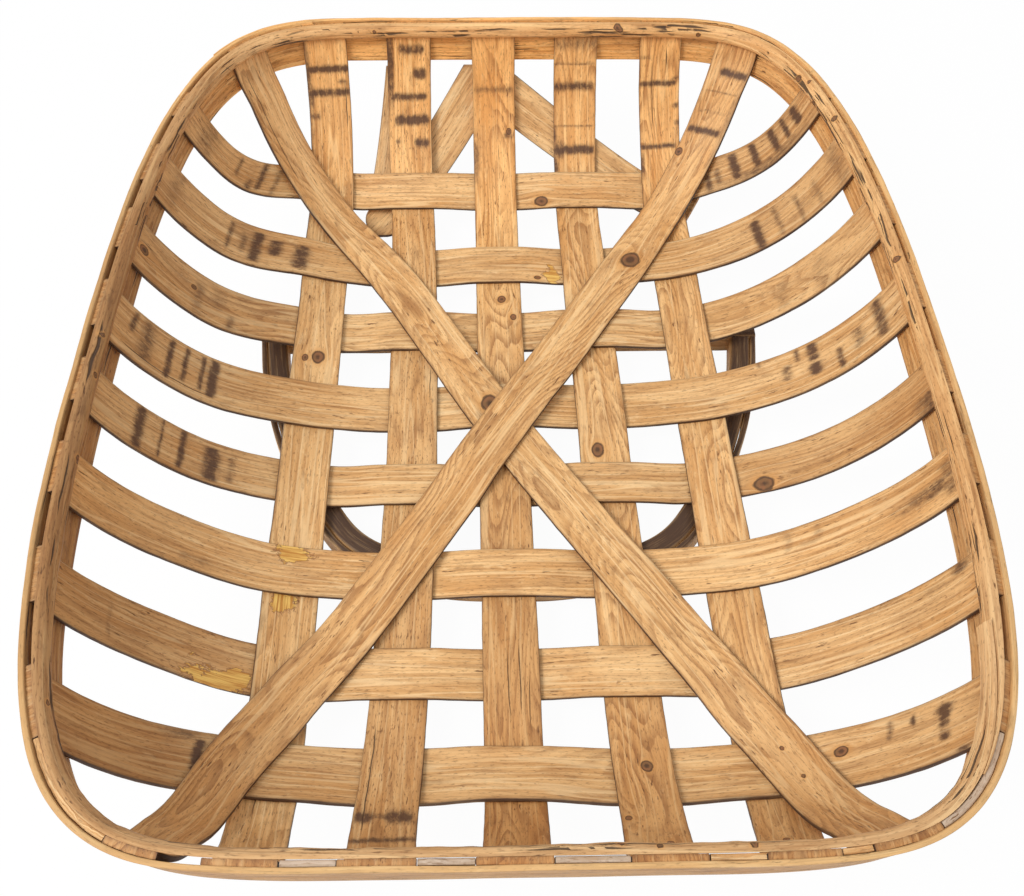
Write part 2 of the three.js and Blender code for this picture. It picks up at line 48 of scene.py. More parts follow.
trayForm = {
    "floorHalfWidth": 116.0,
    "floorHalfLength": 240.0,
    "sideLean": 16.0,          # degrees that the side walls lean out at the rim
    "endLean": 12.0,
    "rimHalfWidth": 298.5,
    "rimHalfLength": 373.0,
    "rimHeight": 138.0,        # from the floor's weave to the top of the band
    "sideFullness": 7.2,       # powers of the rim's outline
    "farFullness": 2.35,
    "nearFullness": 2.8,
    "footHeight": 20.0,
    "splintThickness": 3.0,
    "weaveGap": 0.6,
    "contactGap": 0.3,
    "layGap": 0.8,
    "gripGap": 0.5,            # between a splint's end and the band or hoop that grips it
    "bandThickness": 3.2,
    "splintDrop": 2.0,         # splint ends under the top of the band
    "crossingMargin": -6.0,    # how far past a crossing splint's edges a splint keeps its level
    "gripHold": 4.0,           # length of a splint's end that stays level in the rim
    "slopeStep": 0.4,          # step over which the sheet's slope is measured
    "halvings": 34,            # steps of a search for a place on the outline
}

flatX, flatY = trayForm["floorHalfWidth"], trayForm["floorHalfLength"]
sideLean, endLean = math.radians(trayForm["sideLean"]), math.radians(trayForm["endLean"])
thickness = trayForm["splintThickness"]
gripHold = trayForm["gripHold"]
sheetZ = trayForm["footHeight"] + trayForm["contactGap"] + trayForm["weaveGap"] / 2 + thickness
sheetInset = trayForm["bandThickness"] + trayForm["gripGap"] + thickness / 2
sheetTop = trayForm["rimHeight"] - trayForm["splintDrop"]
weaveLift = (thickness + trayForm["weaveGap"]) / 2
endsX0 = trayForm["rimHalfWidth"] - sheetInset
endsY0 = trayForm["rimHalfLength"] - sheetInset


# Half a cosine wave from 0 to 1, level outside that range
def easeInOut(share):
    return (1 - np.cos(np.pi * np.clip(share, 0, 1))) / 2


# Start plus a share of the way to the end
def mix(start, end, share):
    return start + (end - start) * share


# Power of the outline's end on the near or the far side
def endFullness(y):
    return np.where(y < 0, trayForm["nearFullness"], trayForm["farFullness"])


# Outline of the splint ends: |x/a| to one power plus |y/b| to another is 1
def isInside(x, y):
    return np.abs(x / endsX0) ** trayForm["sideFullness"] + np.abs(y / endsY0) ** endFullness(y) < 1


# Half width of that outline at a place along the tray
def endsX(y):
    along = np.minimum(np.abs(y / endsY0), 1) ** endFullness(y)
    return endsX0 * (1 - along) ** (1 / trayForm["sideFullness"])


# Half length of that outline at a place across the tray, on the near or the far side
def endsY(x, y):
    across = np.minimum(np.abs(x / endsX0), 1) ** trayForm["sideFullness"]
    return endsY0 * (1 - across) ** (1 / endFullness(y))


# Halving search, on whole arrays, for the last value at which a test still holds
def lastThatHolds(holds, inside, outside):
    good, bad = (np.array(part, float) for part in np.broadcast_arrays(inside, outside))
    for _ in range(trayForm["halvings"]):
        middle = (good + bad) / 2
        isGood = holds(middle)
        good = np.where(isGood, middle, good)
        bad = np.where(isGood, bad, middle)
    return good


# Length of the curved floor and wall from the tray's middle to the rim
def wallArc(flat, reach, lean):
    return flat + (reach - flat) / math.cos(lean) * (math.pi / 2 - lean)


sideArc = wallArc(flatX, endsX0, sideLean)
endArc = wallArc(flatY, endsY0, endLean)


# Height on the arc of a wall: its radius times one less the cosine of the slope
def wallRise(share, lean):
    slope = np.arcsin(np.minimum(share * np.cos(lean), 1))
    return sheetTop * (1 - np.cos(slope)) / (1 - np.sin(lean))


# Plan place of a distance measured along the curved floor and wall
def wallPlace(distance, flat, reach, lean):
    size = np.abs(distance)
    radius = (reach - flat) / math.cos(lean)
    slope = np.clip((size - flat) / radius, 0, math.pi / 2 - lean)
    return np.where(size <= flat, distance, np.sign(distance) * (flat + radius * np.sin(slope)))


# Height of the woven sheet over the floor; a corner's wall fans out from the flat floor's corner
def sheetHeight(x, y):
    x, y = (np.array(part, float) for part in np.broadcast_arrays(x, y))
    outX = np.maximum(np.abs(x) - flatX, 0)
    outY = np.maximum(np.abs(y) - flatY, 0)
    height = np.zeros(x.shape)
    side = (outX > 0) & (outY == 0)
    height[side] = wallRise(outX[side] / (endsX(y[side]) - flatX), sideLean)
    end = (outX == 0) & (outY > 0)
    height[end] = wallRise(outY[end] / (endsY(x[end], y[end]) - flatY), endLean)
    corner = (outX > 0) & (outY > 0)
    cornerX, cornerY, side = outX[corner], outY[corner], np.sign(y[corner])
    out = np.hypot(cornerX, cornerY)
    reach = lastThatHolds(
        lambda way: isInside(flatX + cornerX / out * way, side * (flatY + cornerY / out * way)),
        np.zeros(out.shape), np.full(out.shape, endsY0))
    height[corner] = wallRise(out / reach, mix(sideLean, endLean, (cornerY / out) ** 2))
    return height


# Point and normal of the sheet; the normal is upright, tilted by the slopes over a short step
def sheetPoint(x, y):
    step = trayForm["slopeStep"]
    slopeX = (sheetHeight(x + step, y) - sheetHeight(x - step, y)) / (2 * step)
    slopeY = (sheetHeight(x, y + step) - sheetHeight(x, y - step)) / (2 * step)
    normal = np.stack([-slopeX, -slopeY, np.ones_like(slopeX)], -1)
    normal /= np.linalg.norm(normal, axis=-1, keepdims=True)
    return np.stack([x, y, sheetZ + sheetHeight(x, y)], -1), normal


# Irregular lines and reliefs

# Smooth random line: a sum of sines whose wavelengths run evenly from the longest to the shortest
def wander(run, seed, longest, shortest, terms=6):
    rng = np.random.default_rng(seed)
    waves = np.geomspace(longest, shortest, terms)
    phases = rng.uniform(0, 2 * np.pi, terms)
    weights = np.sqrt(waves) / np.sqrt(waves).sum()
    parts = zip(weights, waves, phases)
    return sum(weight * np.sin(2 * np.pi * run / wave + phase) for weight, wave, phase in parts)


reliefForm = {
    "terms": 9,
    "alongWaves": (70, 260),   # shortest and longest wave along the grain, and across it
    "acrossWaves": (7, 34),
}


# Smooth random relief: a sum of plane waves, long with the grain and short across it
def relief(along, across, seed):
    rng = np.random.default_rng(seed)
    terms = reliefForm["terms"]
    alongWave = rng.uniform(*reliefForm["alongWaves"], terms) * rng.choice([-1, 1], terms)
    acrossWave = rng.uniform(*reliefForm["acrossWaves"], terms)
    phases = rng.uniform(0, 2 * np.pi, terms)
    parts = zip(alongWave, acrossWave, phases)
    total = sum(np.sin(2 * np.pi * (along / a + across / b) + phase) for a, b, phase in parts)
    return total / math.sqrt(terms)


# Marks on the wood, each a field over a strip's length and width

# Values of the fields where a piece has no mark
bareWood = {"scorchAndShade": 0.0, "knot": 9.0, "chip": 0.0, "crack": 8.0, "crackWidth": -1.0}

markForm = {
    "scorchSpread": 1.5,       # a scorch band's reach along the strip, per millimetre of its size
    "scorchWander": 0.6,       # how far a band strays
    "scorchSeed": 3,           # what is added to a band's place for its seed
    "scorchWaves": (23, 5),    # longest and shortest wave of a band's straying
    "scorchFade": 5.0,         # run over which a band ends across the strip
    "knotStretch": 1.25,       # a knot's length by its width
    "flowReach": 1.5,          # how far the grain flows round a knot, in knot radii
    "flowStretch": 3.0,
    "chipFall": 0.7,           # how fast the bell of a torn patch falls off
    "crackWander": 0.9,        # the same three for a crack
    "crackSeed": 7,
    "crackWaves": (160, 18),
    "crackReach": 3.0,         # distance from a crack within which it is told apart
    "crackTaper": 30.0,        # run over which each end of a crack closes
    "crackTip": -0.5,          # half width at a crack's tip; under 0 it can't be seen
    "endShadeRun": 4.0,             # run over which a cut end is darker: painted shade of the slot in the rim that it sits in
    "endShadeDark": 0.4,          # how dark and how brown that painted shade is
    "endShadeBrown": 0.8,
}


# Scorch bands across a strip: a bell curve along it, times a soft window across it
def scorchField(along, across, scorches):
    field = np.full(along.shape, bareWood["scorchAndShade"])
    fade = markForm["scorchFade"]
    for at, low, high, size, strength, slant in scorches:
        seed = int(abs(at)) + markForm["scorchSeed"]
        stray = markForm["scorchWander"] * wander(across, seed, *markForm["scorchWaves"])
        centre = at + slant * across + stray
        band = np.exp(-((along - centre) / (markForm["scorchSpread"] * size)) ** 2)
        window = easeInOut((across - low) / fade + 0.5) * easeInOut((high - across) / fade + 0.5)
        field = np.maximum(field, strength * band * window)
    return field


# Distance from the nearest knot in knot radii, longer along the grain
def knotField(along, across, knots):
    field = np.full(along.shape, bareWood["knot"])
    for at, side, radius in knots:
        field = np.minimum(field, np.hypot((along - at) / markForm["knotStretch"], across - side) / radius)
    return field


# Grain line that a point lies on: the flow round a post at each knot
def grainLine(along, across, knots):
    line = across.copy()
    for at, side, radius in knots:
        reach = (markForm["flowReach"] * radius) ** 2
        away = (along - at) ** 2 / markForm["flowStretch"] + (across - side) ** 2
        line -= (across - side) * reach / (away + reach)
    return line


# Value that changes evenly along a piece between (place, value) pairs
def alongField(along, pairs):
    places, values = np.array(pairs, float).T
    return np.interp(along, places, values)


# Torn patches: a bell curve over an oval
def chipField(along, across, chips):
    field = np.full(along.shape, bareWood["chip"])
    for at, side, length, width in chips:
        away = ((along - at) / (length / 2)) ** 2 + ((across - side) / (width / 2)) ** 2
        field = np.maximum(field, np.exp(-markForm["chipFall"] * away))
    return field


# Signed distance to the nearest crack, and the crack's half width there, which tapers to both ends
# and is under 0 away from any crack
def crackFields(along, across, cracks):
    distance = np.full(along.shape, bareWood["crack"])
    width = np.full(along.shape, bareWood["crackWidth"])
    for start, end, side, size in cracks:
        seed = int(abs(start)) + markForm["crackSeed"]
        line = across - side - markForm["crackWander"] * wander(along, seed, *markForm["crackWaves"])
        taper = easeInOut((along - start) / markForm["crackTaper"])
        taper = taper * easeInOut((end - along) / markForm["crackTaper"])
        isNear = (np.abs(line) < np.minimum(np.abs(distance), markForm["crackReach"])) & (taper > 0)
        distance = np.where(isNear, line, distance)
        width = np.where(isNear, mix(markForm["crackTip"], size, taper), width)
    return distance, width


# All the fields that a look asks for on a grid of lengths along and across a piece
def woodMarks(along, across, look):
    crack, crackWidth = crackFields(along, across, look["cracks"])
    return {
        "scorchAndShade": scorchField(along, across, look["scorches"]),
        "knot": knotField(along, across, look["knots"]),
        "chip": chipField(along, across, look["chips"]),
        "crack": crack,
        "crackWidth": crackWidth,
        # Age along the piece also lays in painted shade where a face is turned from the lamps, and warmth
        # lays in painted light where a face is turned to them
        "ageAndShade": alongField(along, look["ageAndShade"]),
        "goldAndLight": alongField(along, look["goldAndLight"]),
    }


# Meshes

meshRules = {
    "capThickness": 1.5,       # half thickness that the grain on an end face is laid out for
    "capSlip": 2.6,            # run of the grain over an end face, per millimetre of its thickness
    "sharpAngle": 52.0,        # degrees from which an edge is shaded sharp
    "seedRun": 91.0,           # shift of the grain for each seed, along a piece and across it
    "seedAside": 37.0,
    "seedTurns": 29,           # seeds after which the shift across starts again
    "roundSteps": (0, 0.18, 0.5, 1.0),  # shares of an edge's rounding at which it has points
}


# Outward order for a face list: the volume under the faces must not be negative
def isInsideOut(points, faces):
    a, b, c, d = (points[faces[:, corner]] for corner in range(4))
    volume = np.einsum("ij,ij->i", a, np.cross(b, c)) + np.einsum("ij,ij->i", a, np.cross(c, d))
    return volume.sum() < 0


# Closed mesh swept through sections. points is stations by corners; each section's first half is
# one face of the strip and its second half comes back along the other, so a ladder closes the ends.
# along and around are the lengths that the wood pattern is laid out by, around having one more column.
def sweptPiece(name, points, along, around, across, marks):
    stations, corners = points.shape[:2]
    here = np.arange(stations - 1)[:, None] * corners + np.arange(corners)
    there = np.arange(stations - 1)[:, None] * corners + (np.arange(corners) + 1) % corners
    walls = np.stack([here, there, there + corners, here + corners], -1).reshape(-1, 4)
    rung = np.arange(corners // 2 - 1)
    cap = np.stack([rung + 1, rung, corners - 1 - rung, corners - 2 - rung], -1)
    last = (stations - 1) * corners
    faces = np.concatenate([walls, cap, last + cap[:, ::-1]])

    alongHere = np.broadcast_to(along[:, None], (stations, corners))
    wallU = np.stack([alongHere[:-1], alongHere[:-1], alongHere[1:], alongHere[1:]], -1)
    wallV = np.stack([around[:-1, :-1], around[:-1, 1:], around[1:, 1:], around[1:, :-1]], -1)
    capSide = across.reshape(-1)
    capSign = np.tile(np.where(np.arange(corners) < corners // 2, 1, -1), stations)
    capRun = meshRules["capSlip"] * meshRules["capThickness"] * capSign
    capFaces = faces[len(walls):]
    capU = np.repeat(alongHere.reshape(-1)[capFaces[:, 0]], 4).reshape(-1, 4) + capRun[capFaces]
    capV = capSide[capFaces]
    uv = np.stack([
        np.concatenate([wallU.reshape(-1, 4), capU]),
        np.concatenate([wallV.reshape(-1, 4), capV]),
    ], -1) * millimetre

    flat = points.reshape(-1, 3)
    if isInsideOut(flat, faces):
        faces = faces[:, ::-1]
        uv = uv[:, ::-1]

    mesh = bpy.data.meshes.new(name)
    mesh.vertices.add(len(flat))
    mesh.vertices.foreach_set("co", (flat * millimetre).ravel())
    mesh.loops.add(faces.size)
    mesh.loops.foreach_set("vertex_index", faces.ravel().astype(np.int32))
    mesh.polygons.add(len(faces))
    mesh.polygons.foreach_set("loop_start", np.arange(0, faces.size, 4, dtype=np.int32))
    mesh.polygons.foreach_set("use_smooth", np.ones(len(faces), bool))
    mesh.update(calc_edges=True)
    layer = mesh.uv_layers.new(name="grain")
    layer.uv.foreach_set("vector", uv.ravel())
    for label, values in marks.items():
        mark = mesh.attributes.new(label, "FLOAT", "POINT")
        mark.data.foreach_set("value", np.ascontiguousarray(values, float).ravel())
    mesh.set_sharp_from_angle(angle=math.radians(meshRules["sharpAngle"]))
    piece = bpy.data.objects.new(name, mesh)
    bpy.context.scene.collection.objects.link(piece)
    return piece


# Places across a strip, close together at its edges, and the half thickness at each, which falls off
# by a quarter circle over the rounding
def stripSection(width, thick, spacing, edgeRound):
    near = np.array(meshRules["roundSteps"]) * edgeRound
    count = max(int(np.ceil((width - 2 * edgeRound) / spacing)), 2)
    inner = np.linspace(-width / 2 + edgeRound, width / 2 - edgeRound, count + 1)
    places = np.concatenate([-width / 2 + near[:-1], inner, (width / 2 - near[:-1])[::-1]])
    fromEdge = np.clip((width / 2 - np.abs(places)) / edgeRound, 0, 1)
    half = thick / 2 - edgeRound * (1 - np.sqrt(1 - (1 - fromEdge) ** 2))
    return places, half


# Hand a piece over: it rides the root body, and the CAD node that it replaces is hidden
def handOver(piece, node):
    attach(piece, "root")
    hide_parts(node)


# Strip about a grid of middle points: half its thickness to either side along the normal
def stripPiece(name, middle, normal, across, half, along, look, seed):
    alongGrid = np.broadcast_to(along[:, None], middle.shape[:2])
    skin = look["relief"] * relief(alongGrid, across, seed)
    upper = middle + normal * (half + skin)[..., None]
    lower = middle - normal * (half - skin)[..., None]
    points = np.concatenate([upper, lower[:, ::-1]], 1)

    fields = woodMarks(alongGrid, across, look)
    # Painted shade at both ends, which sit in the dark slot between band and hoop: darker, browner wood
    # laid into the scorch and age fields
    fromEnd = np.minimum(alongGrid - along[0], along[-1] - alongGrid)
    endShade = np.exp(-fromEnd / markForm["endShadeRun"])
    fields["scorchAndShade"] = np.maximum(fields["scorchAndShade"], markForm["endShadeDark"] * endShade)
    fields["ageAndShade"] = fields["ageAndShade"] + markForm["endShadeBrown"] * endShade
    # Colour towards the edges, dark on most looks: painted shade along the edges, with grime
    rowWidth = across[:, -1:] - across[:, :1]
    fromEdge = rowWidth / 2 - np.abs(across - across.mean(1, keepdims=True))
    fields["border"] = np.exp(-fromEdge / look["borderRun"])

    # The lower face has the same edges, age and warmth, painted shade and light included, but no marks
    marks = {}
    for label, field in fields.items():
        below = np.broadcast_to(bareWood.get(label, field), field.shape)
        marks[label] = np.concatenate([field, below[:, ::-1]], 1)

    thick = 2 * half.max()
    line = grainLine(alongGrid, across, look["knots"])
    lowerRound = rowWidth + thick - across
    closing = line[:, :1] + 2 * rowWidth + 2 * thick
    around = np.concatenate([line, lowerRound[:, ::-1], closing], 1)
    sideways = np.concatenate([across, across[:, ::-1]], 1)
    shift = meshRules["seedAside"] * (seed % meshRules["seedTurns"])
    run = along + meshRules["seedRun"] * seed
    piece = sweptPiece(name, points, run, around + shift, sideways + shift, marks)
    piece.data.materials.append(woodMaterial(name + "_wood", look))
    return piece


# Length along the middle row of a grid, counted from its middle station
def runAlong(middle):
    row = middle[:, middle.shape[1] // 2]
    steps = np.linalg.norm(np.diff(row, axis=0), axis=1)
    run = np.concatenate([[0], np.cumsum(steps)])
    return run - run[-1] / 2


# Wood finish

# Linear colour from an everyday 0 to 255 one
def paint(red, green, blue):
    channels = np.array([red, green, blue]) / 255
    linear = np.where(channels <= 0.04045, channels / 12.92, ((channels + 0.055) / 1.055) ** 2.4)
    return (*linear.tolist(), 1.0)


# Shader node with its settings; an input takes a plain value or a link from another node's output
def addNode(tree, kind, inputs=None, **settings):
    node = tree.nodes.new(kind)
    for label, value in settings.items():
        setattr(node, label, value)
    for label, value in (inputs or {}).items():
        if isinstance(value, bpy.types.NodeSocket):
            tree.links.new(value, node.inputs[label])
        else:
            node.inputs[label].default_value = value
    return node


# Result of one sum on sockets or plain numbers
def calculate(tree, operation, first, second=0.0, clamp=False):
    node = addNode(tree, "ShaderNodeMath", {0: first, 1: second}, operation=operation, use_clamp=clamp)
    return node.outputs[0]


# Smooth step of a value from 0 at low to 1 at high
def smoothStep(tree, value, low, high):
    node = addNode(tree, "ShaderNodeMapRange", {
        "Value": value, "From Min": low, "From Max": high, "To Min": 0.0, "To Max": 1.0,
    }, interpolation_type="SMOOTHSTEP")
    return node.outputs["Result"]


# Blend of two colours; 6 and 7 are the Mix node's colour inputs and 2 its colour output
def blendColour(tree, share, first, second, mode="MIX"):
    node = addNode(tree, "ShaderNodeMix", data_type="RGBA", blend_type=mode, clamp_factor=True)
    for index, value in {0: share, 6: first, 7: second}.items():
        if isinstance(value, bpy.types.NodeSocket):
            tree.links.new(value, node.inputs[index])
        else:
            node.inputs[index].default_value = value
    return node.outputs[2]


# Noise over the grain map, so many features to the metre along the grain and across it
def grainNoise(tree, grainMap, along, across, detail, roughness):
    features = (along, across, 1.0)
    place = addNode(tree, "ShaderNodeVectorMath", {0: grainMap, 1: features}, operation="MULTIPLY")
    noise = addNode(tree, "ShaderNodeTexNoise", {
        "Vector": place.outputs[0], "Scale": 1.0, "Detail": detail, "Roughness": roughness,
    })
    return noise.outputs["Fac"]


# Value of one of the fields that sweptPiece wrote to the mesh
def pieceValue(tree, label):
    return addNode(tree, "ShaderNodeAttribute", attribute_name=label).outputs["Fac"]


noiseMiddle = 0.5              # mean of a noise

# Noises over the grain map: features to the metre along the grain and across it, detail, roughness
grainNoises = {
    "tone": (7, 64, 4, 0.6),
    "patch": (13, 30, 4, 0.62),
    "drab": (19, 44, 5, 0.66),
    "scuff": (44, 130, 4, 0.7),
    "ringJitter": (30, 240, 3, 0.6),
    "ringFade": (9, 38, 3, 0.55),
    "fibre": (17, 430, 4, 0.68),
    "speckle": (210, 900, 2, 0.6),
    "fleckPatch": (22, 60, 2, 0.55),
    "fleck": (85, 560, 2.5, 0.55),
    "ridge": (2.4, 74, 1, 0.55),
    "stain": (30, 85, 5, 0.65),
    "knotGrain": (170, 330, 3, 0.6),
    "torn": (70, 120, 5, 0.7),
    "scorchAndShade": (130, 250, 4, 0.75),
}

# The two values between which a noise or a mark's field counts from 0 to 1
grainSteps = {
    "tone": (0.38, 0.62),
    "patch": (0.5, 0.68),
    "drab": (0.5, 0.64),
    "scuff": (0.58, 0.7),
    "ringRise": (0.3, 0.93),
    "ringDrop": (0.93, 1.0),
    "ringFade": (0.34, 0.62),
    "fibre": (0.5, 0.72),
    "paleFibre": (0.3, 0.47),
    "tornFibre": (0.4, 0.58),
    "speckle": (0.54, 0.72),
    "fleckPatch": (0.45, 0.62),
    "fleck": (0.61, 0.69),
    "ridge": (0.006, 0.022),
    "stain": (0.55, 0.72),
    "crack": (-0.25, 0.15),
    "knotHalo": (0.95, 2.1),
    "knotCore": (0.9, 1.12),
    "knotHeart": (0.2, 0.62),
    "knotRim": (0.04, 0.24),
    "knotGrain": (0.4, 0.6),
    "chip": (0.52, 0.58),
    "chipRimShade": (0.4, 0.5),
    "scorchAndShade": (0.06, 0.88),
}


# Wood laid up from noises along the grain, then the piece's own marks, each blended over the last
def woodMaterial(name, look):
    material = bpy.data.materials.new(name)
    material.use_nodes = True
    tree = material.node_tree
    shader = tree.nodes["Principled BSDF"]
    grainMap = addNode(tree, "ShaderNodeUVMap", uv_map="grain").outputs["UV"]

    # A noise by its name, and a value counted from 0 to 1 between the two steps of a name
    def noise(label):
        return grainNoise(tree, grainMap, *grainNoises[label])

    def counted(value, label):
        return smoothStep(tree, value, *grainSteps[label])

    # Sums on sockets or plain numbers
    def plus(first, second):
        return calculate(tree, "ADD", first, second)

    def minus(first, second):
        return calculate(tree, "SUBTRACT", first, second)

    def times(first, second):
        return calculate(tree, "MULTIPLY", first, second)

    def sizeOf(value):
        return calculate(tree, "ABSOLUTE", value)

    # Colour with another one over it, by an amount times a strength
    def layOver(colour, amount, strength, over):
        return blendColour(tree, calculate(tree, "MULTIPLY", amount, strength, True), colour, over)

    # Broad tone, in long streaks, warmer and duller patches, and scuffs
    tone = noise("tone")
    colour = blendColour(tree, counted(tone, "tone"), look["deep"], look["pale"])
    colour = layOver(colour, counted(noise("patch"), "patch"), look["patchiness"], look["warm"])
    colour = layOver(colour, counted(noise("drab"), "drab"), look["drabness"], look["drab"])
    colour = layOver(colour, counted(noise("scuff"), "scuff"), look["scuffStrength"], look["ridge"])

    # Growth rings: the fraction of a slow noise plus the place across, so lines close into arcs;
    # each one darkens slowly and ends at a sharp line
    ringNoise = grainNoise(tree, grainMap, look["ringStretch"], *look["ringNoise"])
    lineAcross = addNode(tree, "ShaderNodeSeparateXYZ", {"Vector": grainMap}).outputs["Y"]
    ringPlace = plus(times(lineAcross, look["ringsPerMetre"]), times(ringNoise, look["ringCount"]))
    ringPlace = plus(ringPlace, times(noise("ringJitter"), look["ringJitter"]))
    ring = calculate(tree, "FRACT", ringPlace)
    ring = times(counted(ring, "ringRise"), minus(1.0, counted(ring, "ringDrop")))
    ringLeft = 1 - look["ringFade"]
    ring = times(ring, plus(ringLeft, times(counted(noise("ringFade"), "ringFade"), look["ringFade"])))
    colour = layOver(colour, ring, look["ringStrength"], look["line"])

    # Fibres, dark flecks and pale ridges along the grain
    fibre = noise("fibre")
    colour = layOver(colour, counted(fibre, "fibre"), look["fibreStrength"], look["line"])
    colour = layOver(colour, minus(1.0, counted(fibre, "paleFibre")), look["fibreStrength"], look["ridge"])
    speckle = noise("speckle")
    colour = layOver(colour, counted(speckle, "speckle"), look["speckleStrength"], look["stain"])
    fleckPatch = plus(look["loneFlecks"], counted(noise("fleckPatch"), "fleckPatch"))
    fleck = times(counted(noise("fleck"), "fleck"), fleckPatch)
    colour = layOver(colour, fleck, look["fleckStrength"], look["stain"])
    ridge = minus(1.0, counted(sizeOf(minus(noise("ridge"), noiseMiddle)), "ridge"))
    colour = layOver(colour, ridge, look["ridgeStrength"], look["ridge"])

    # Brown stains; age and warmth along the piece, which also lay in painted shade and painted light; and
    # an edge colour, on most pieces painted shade with grime
    stain = noise("stain")
    colour = layOver(colour, counted(stain, "stain"), look["stainStrength"], look["stain"])
    # Age as a browner tint, painted shade included, and warmth as a yellower, brighter one, painted light
    # included
    uneven = plus(look["evenAgeAndShade"], times(tone, look["unevenAgeAndShade"]))
    ageAndShadeColour = blendColour(tree, 1.0, colour, look["ageAndShadeTint"], "MULTIPLY")
    colour = layOver(colour, times(pieceValue(tree, "ageAndShade"), uneven), 1.0, ageAndShadeColour)
    goldAndLightColour = blendColour(tree, 1.0, colour, look["goldAndLightTint"], "MULTIPLY")
    colour = layOver(colour, pieceValue(tree, "goldAndLight"), 1.0, goldAndLightColour)
    # Edge colour: on most looks painted shade along the edges, with grime
    border = times(pieceValue(tree, "border"), plus(look["borderBase"], fibre))
    colour = layOver(colour, border, look["borderStrength"], look["border"])

    # Cracks, and knots with a ragged rim, a dark heart and their own grain
    crackEdge = minus(pieceValue(tree, "crackWidth"), sizeOf(pieceValue(tree, "crack")))
    crack = counted(crackEdge, "crack")
    colour = layOver(colour, crack, look["crackStrength"], look["dark"])
    knotPlace = plus(pieceValue(tree, "knot"), times(minus(stain, noiseMiddle), look["knotRaggedness"]))
    knotHalo = minus(1.0, counted(knotPlace, "knotHalo"))
    colour = layOver(colour, knotHalo, look["haloStrength"], look["warm"])
    knotCore = minus(1.0, counted(knotPlace, "knotCore"))
    knotColour = blendColour(tree, counted(noise("knotGrain"), "knotGrain"), look["knot"], look["stain"])
    knotHeart = minus(1.0, counted(knotPlace, "knotHeart"))
    knotColour = layOver(knotColour, knotHeart, look["rimStrength"], look["dark"])
    colour = blendColour(tree, knotCore, colour, knotColour)
    knotRim = minus(1.0, counted(sizeOf(minus(knotPlace, 1.0)), "knotRim"))
    colour = layOver(colour, knotRim, look["rimStrength"], look["dark"])

    # Torn patches, each with painted shade round its rim, and scorch marks
    tornEdge = times(minus(noise("torn"), noiseMiddle), look["tornRaggedness"])
    chipPlace = plus(pieceValue(tree, "chip"), tornEdge)
    chip = counted(chipPlace, "chip")
    # Painted shade round the rim of a torn patch
    chipRimShade = times(counted(chipPlace, "chipRimShade"), minus(1.0, chip))
    colour = layOver(colour, chipRimShade, look["rimStrength"], look["knot"])
    chipColour = blendColour(tree, counted(fibre, "tornFibre"), look["tornPale"], look["tornDeep"])
    colour = blendColour(tree, chip, colour, chipColour)
    # The scorch field also holds the painted shade at a splint's ends
    scorchGrain = plus(look["scorchBase"], times(noise("scorchAndShade"), look["scorchGrain"]))
    scorchAndShade = counted(times(pieceValue(tree, "scorchAndShade"), scorchGrain), "scorchAndShade")
    colour = layOver(colour, scorchAndShade, look["scorchStrength"], look["scorchAndShade"])
    tree.links.new(colour, shader.inputs["Base Color"])

    roughness = addNode(tree, "ShaderNodeMapRange", {
        "Value": fibre,
        "To Min": look["roughness"] - look["smoothing"],
        "To Max": look["roughness"] + look["roughening"],
    }).outputs["Result"]
    tree.links.new(roughness, shader.inputs["Roughness"])
    shader.inputs["Specular IOR Level"].default_value = look["gloss"]

    # Relief in millimetres of the same features
    height = times(fibre, look["fibreRise"])
    for amount, rise in (
        (tone, "waviness"), (ridge, "ridgeRise"), (fleck, "fleckRise"), (ring, "ringRise"),
        (crack, "crackRise"), (knotCore, "knotRise"), (chip, "chipRise"), (speckle, "speckleRise"),
    ):
        height = plus(height, times(amount, look[rise]))
    bump = addNode(tree, "ShaderNodeBump", {
        "Height": height, "Strength": look["bump"], "Distance": millimetre,
    })
    tree.links.new(bump.outputs["Normal"], shader.inputs["Normal"])
    return material


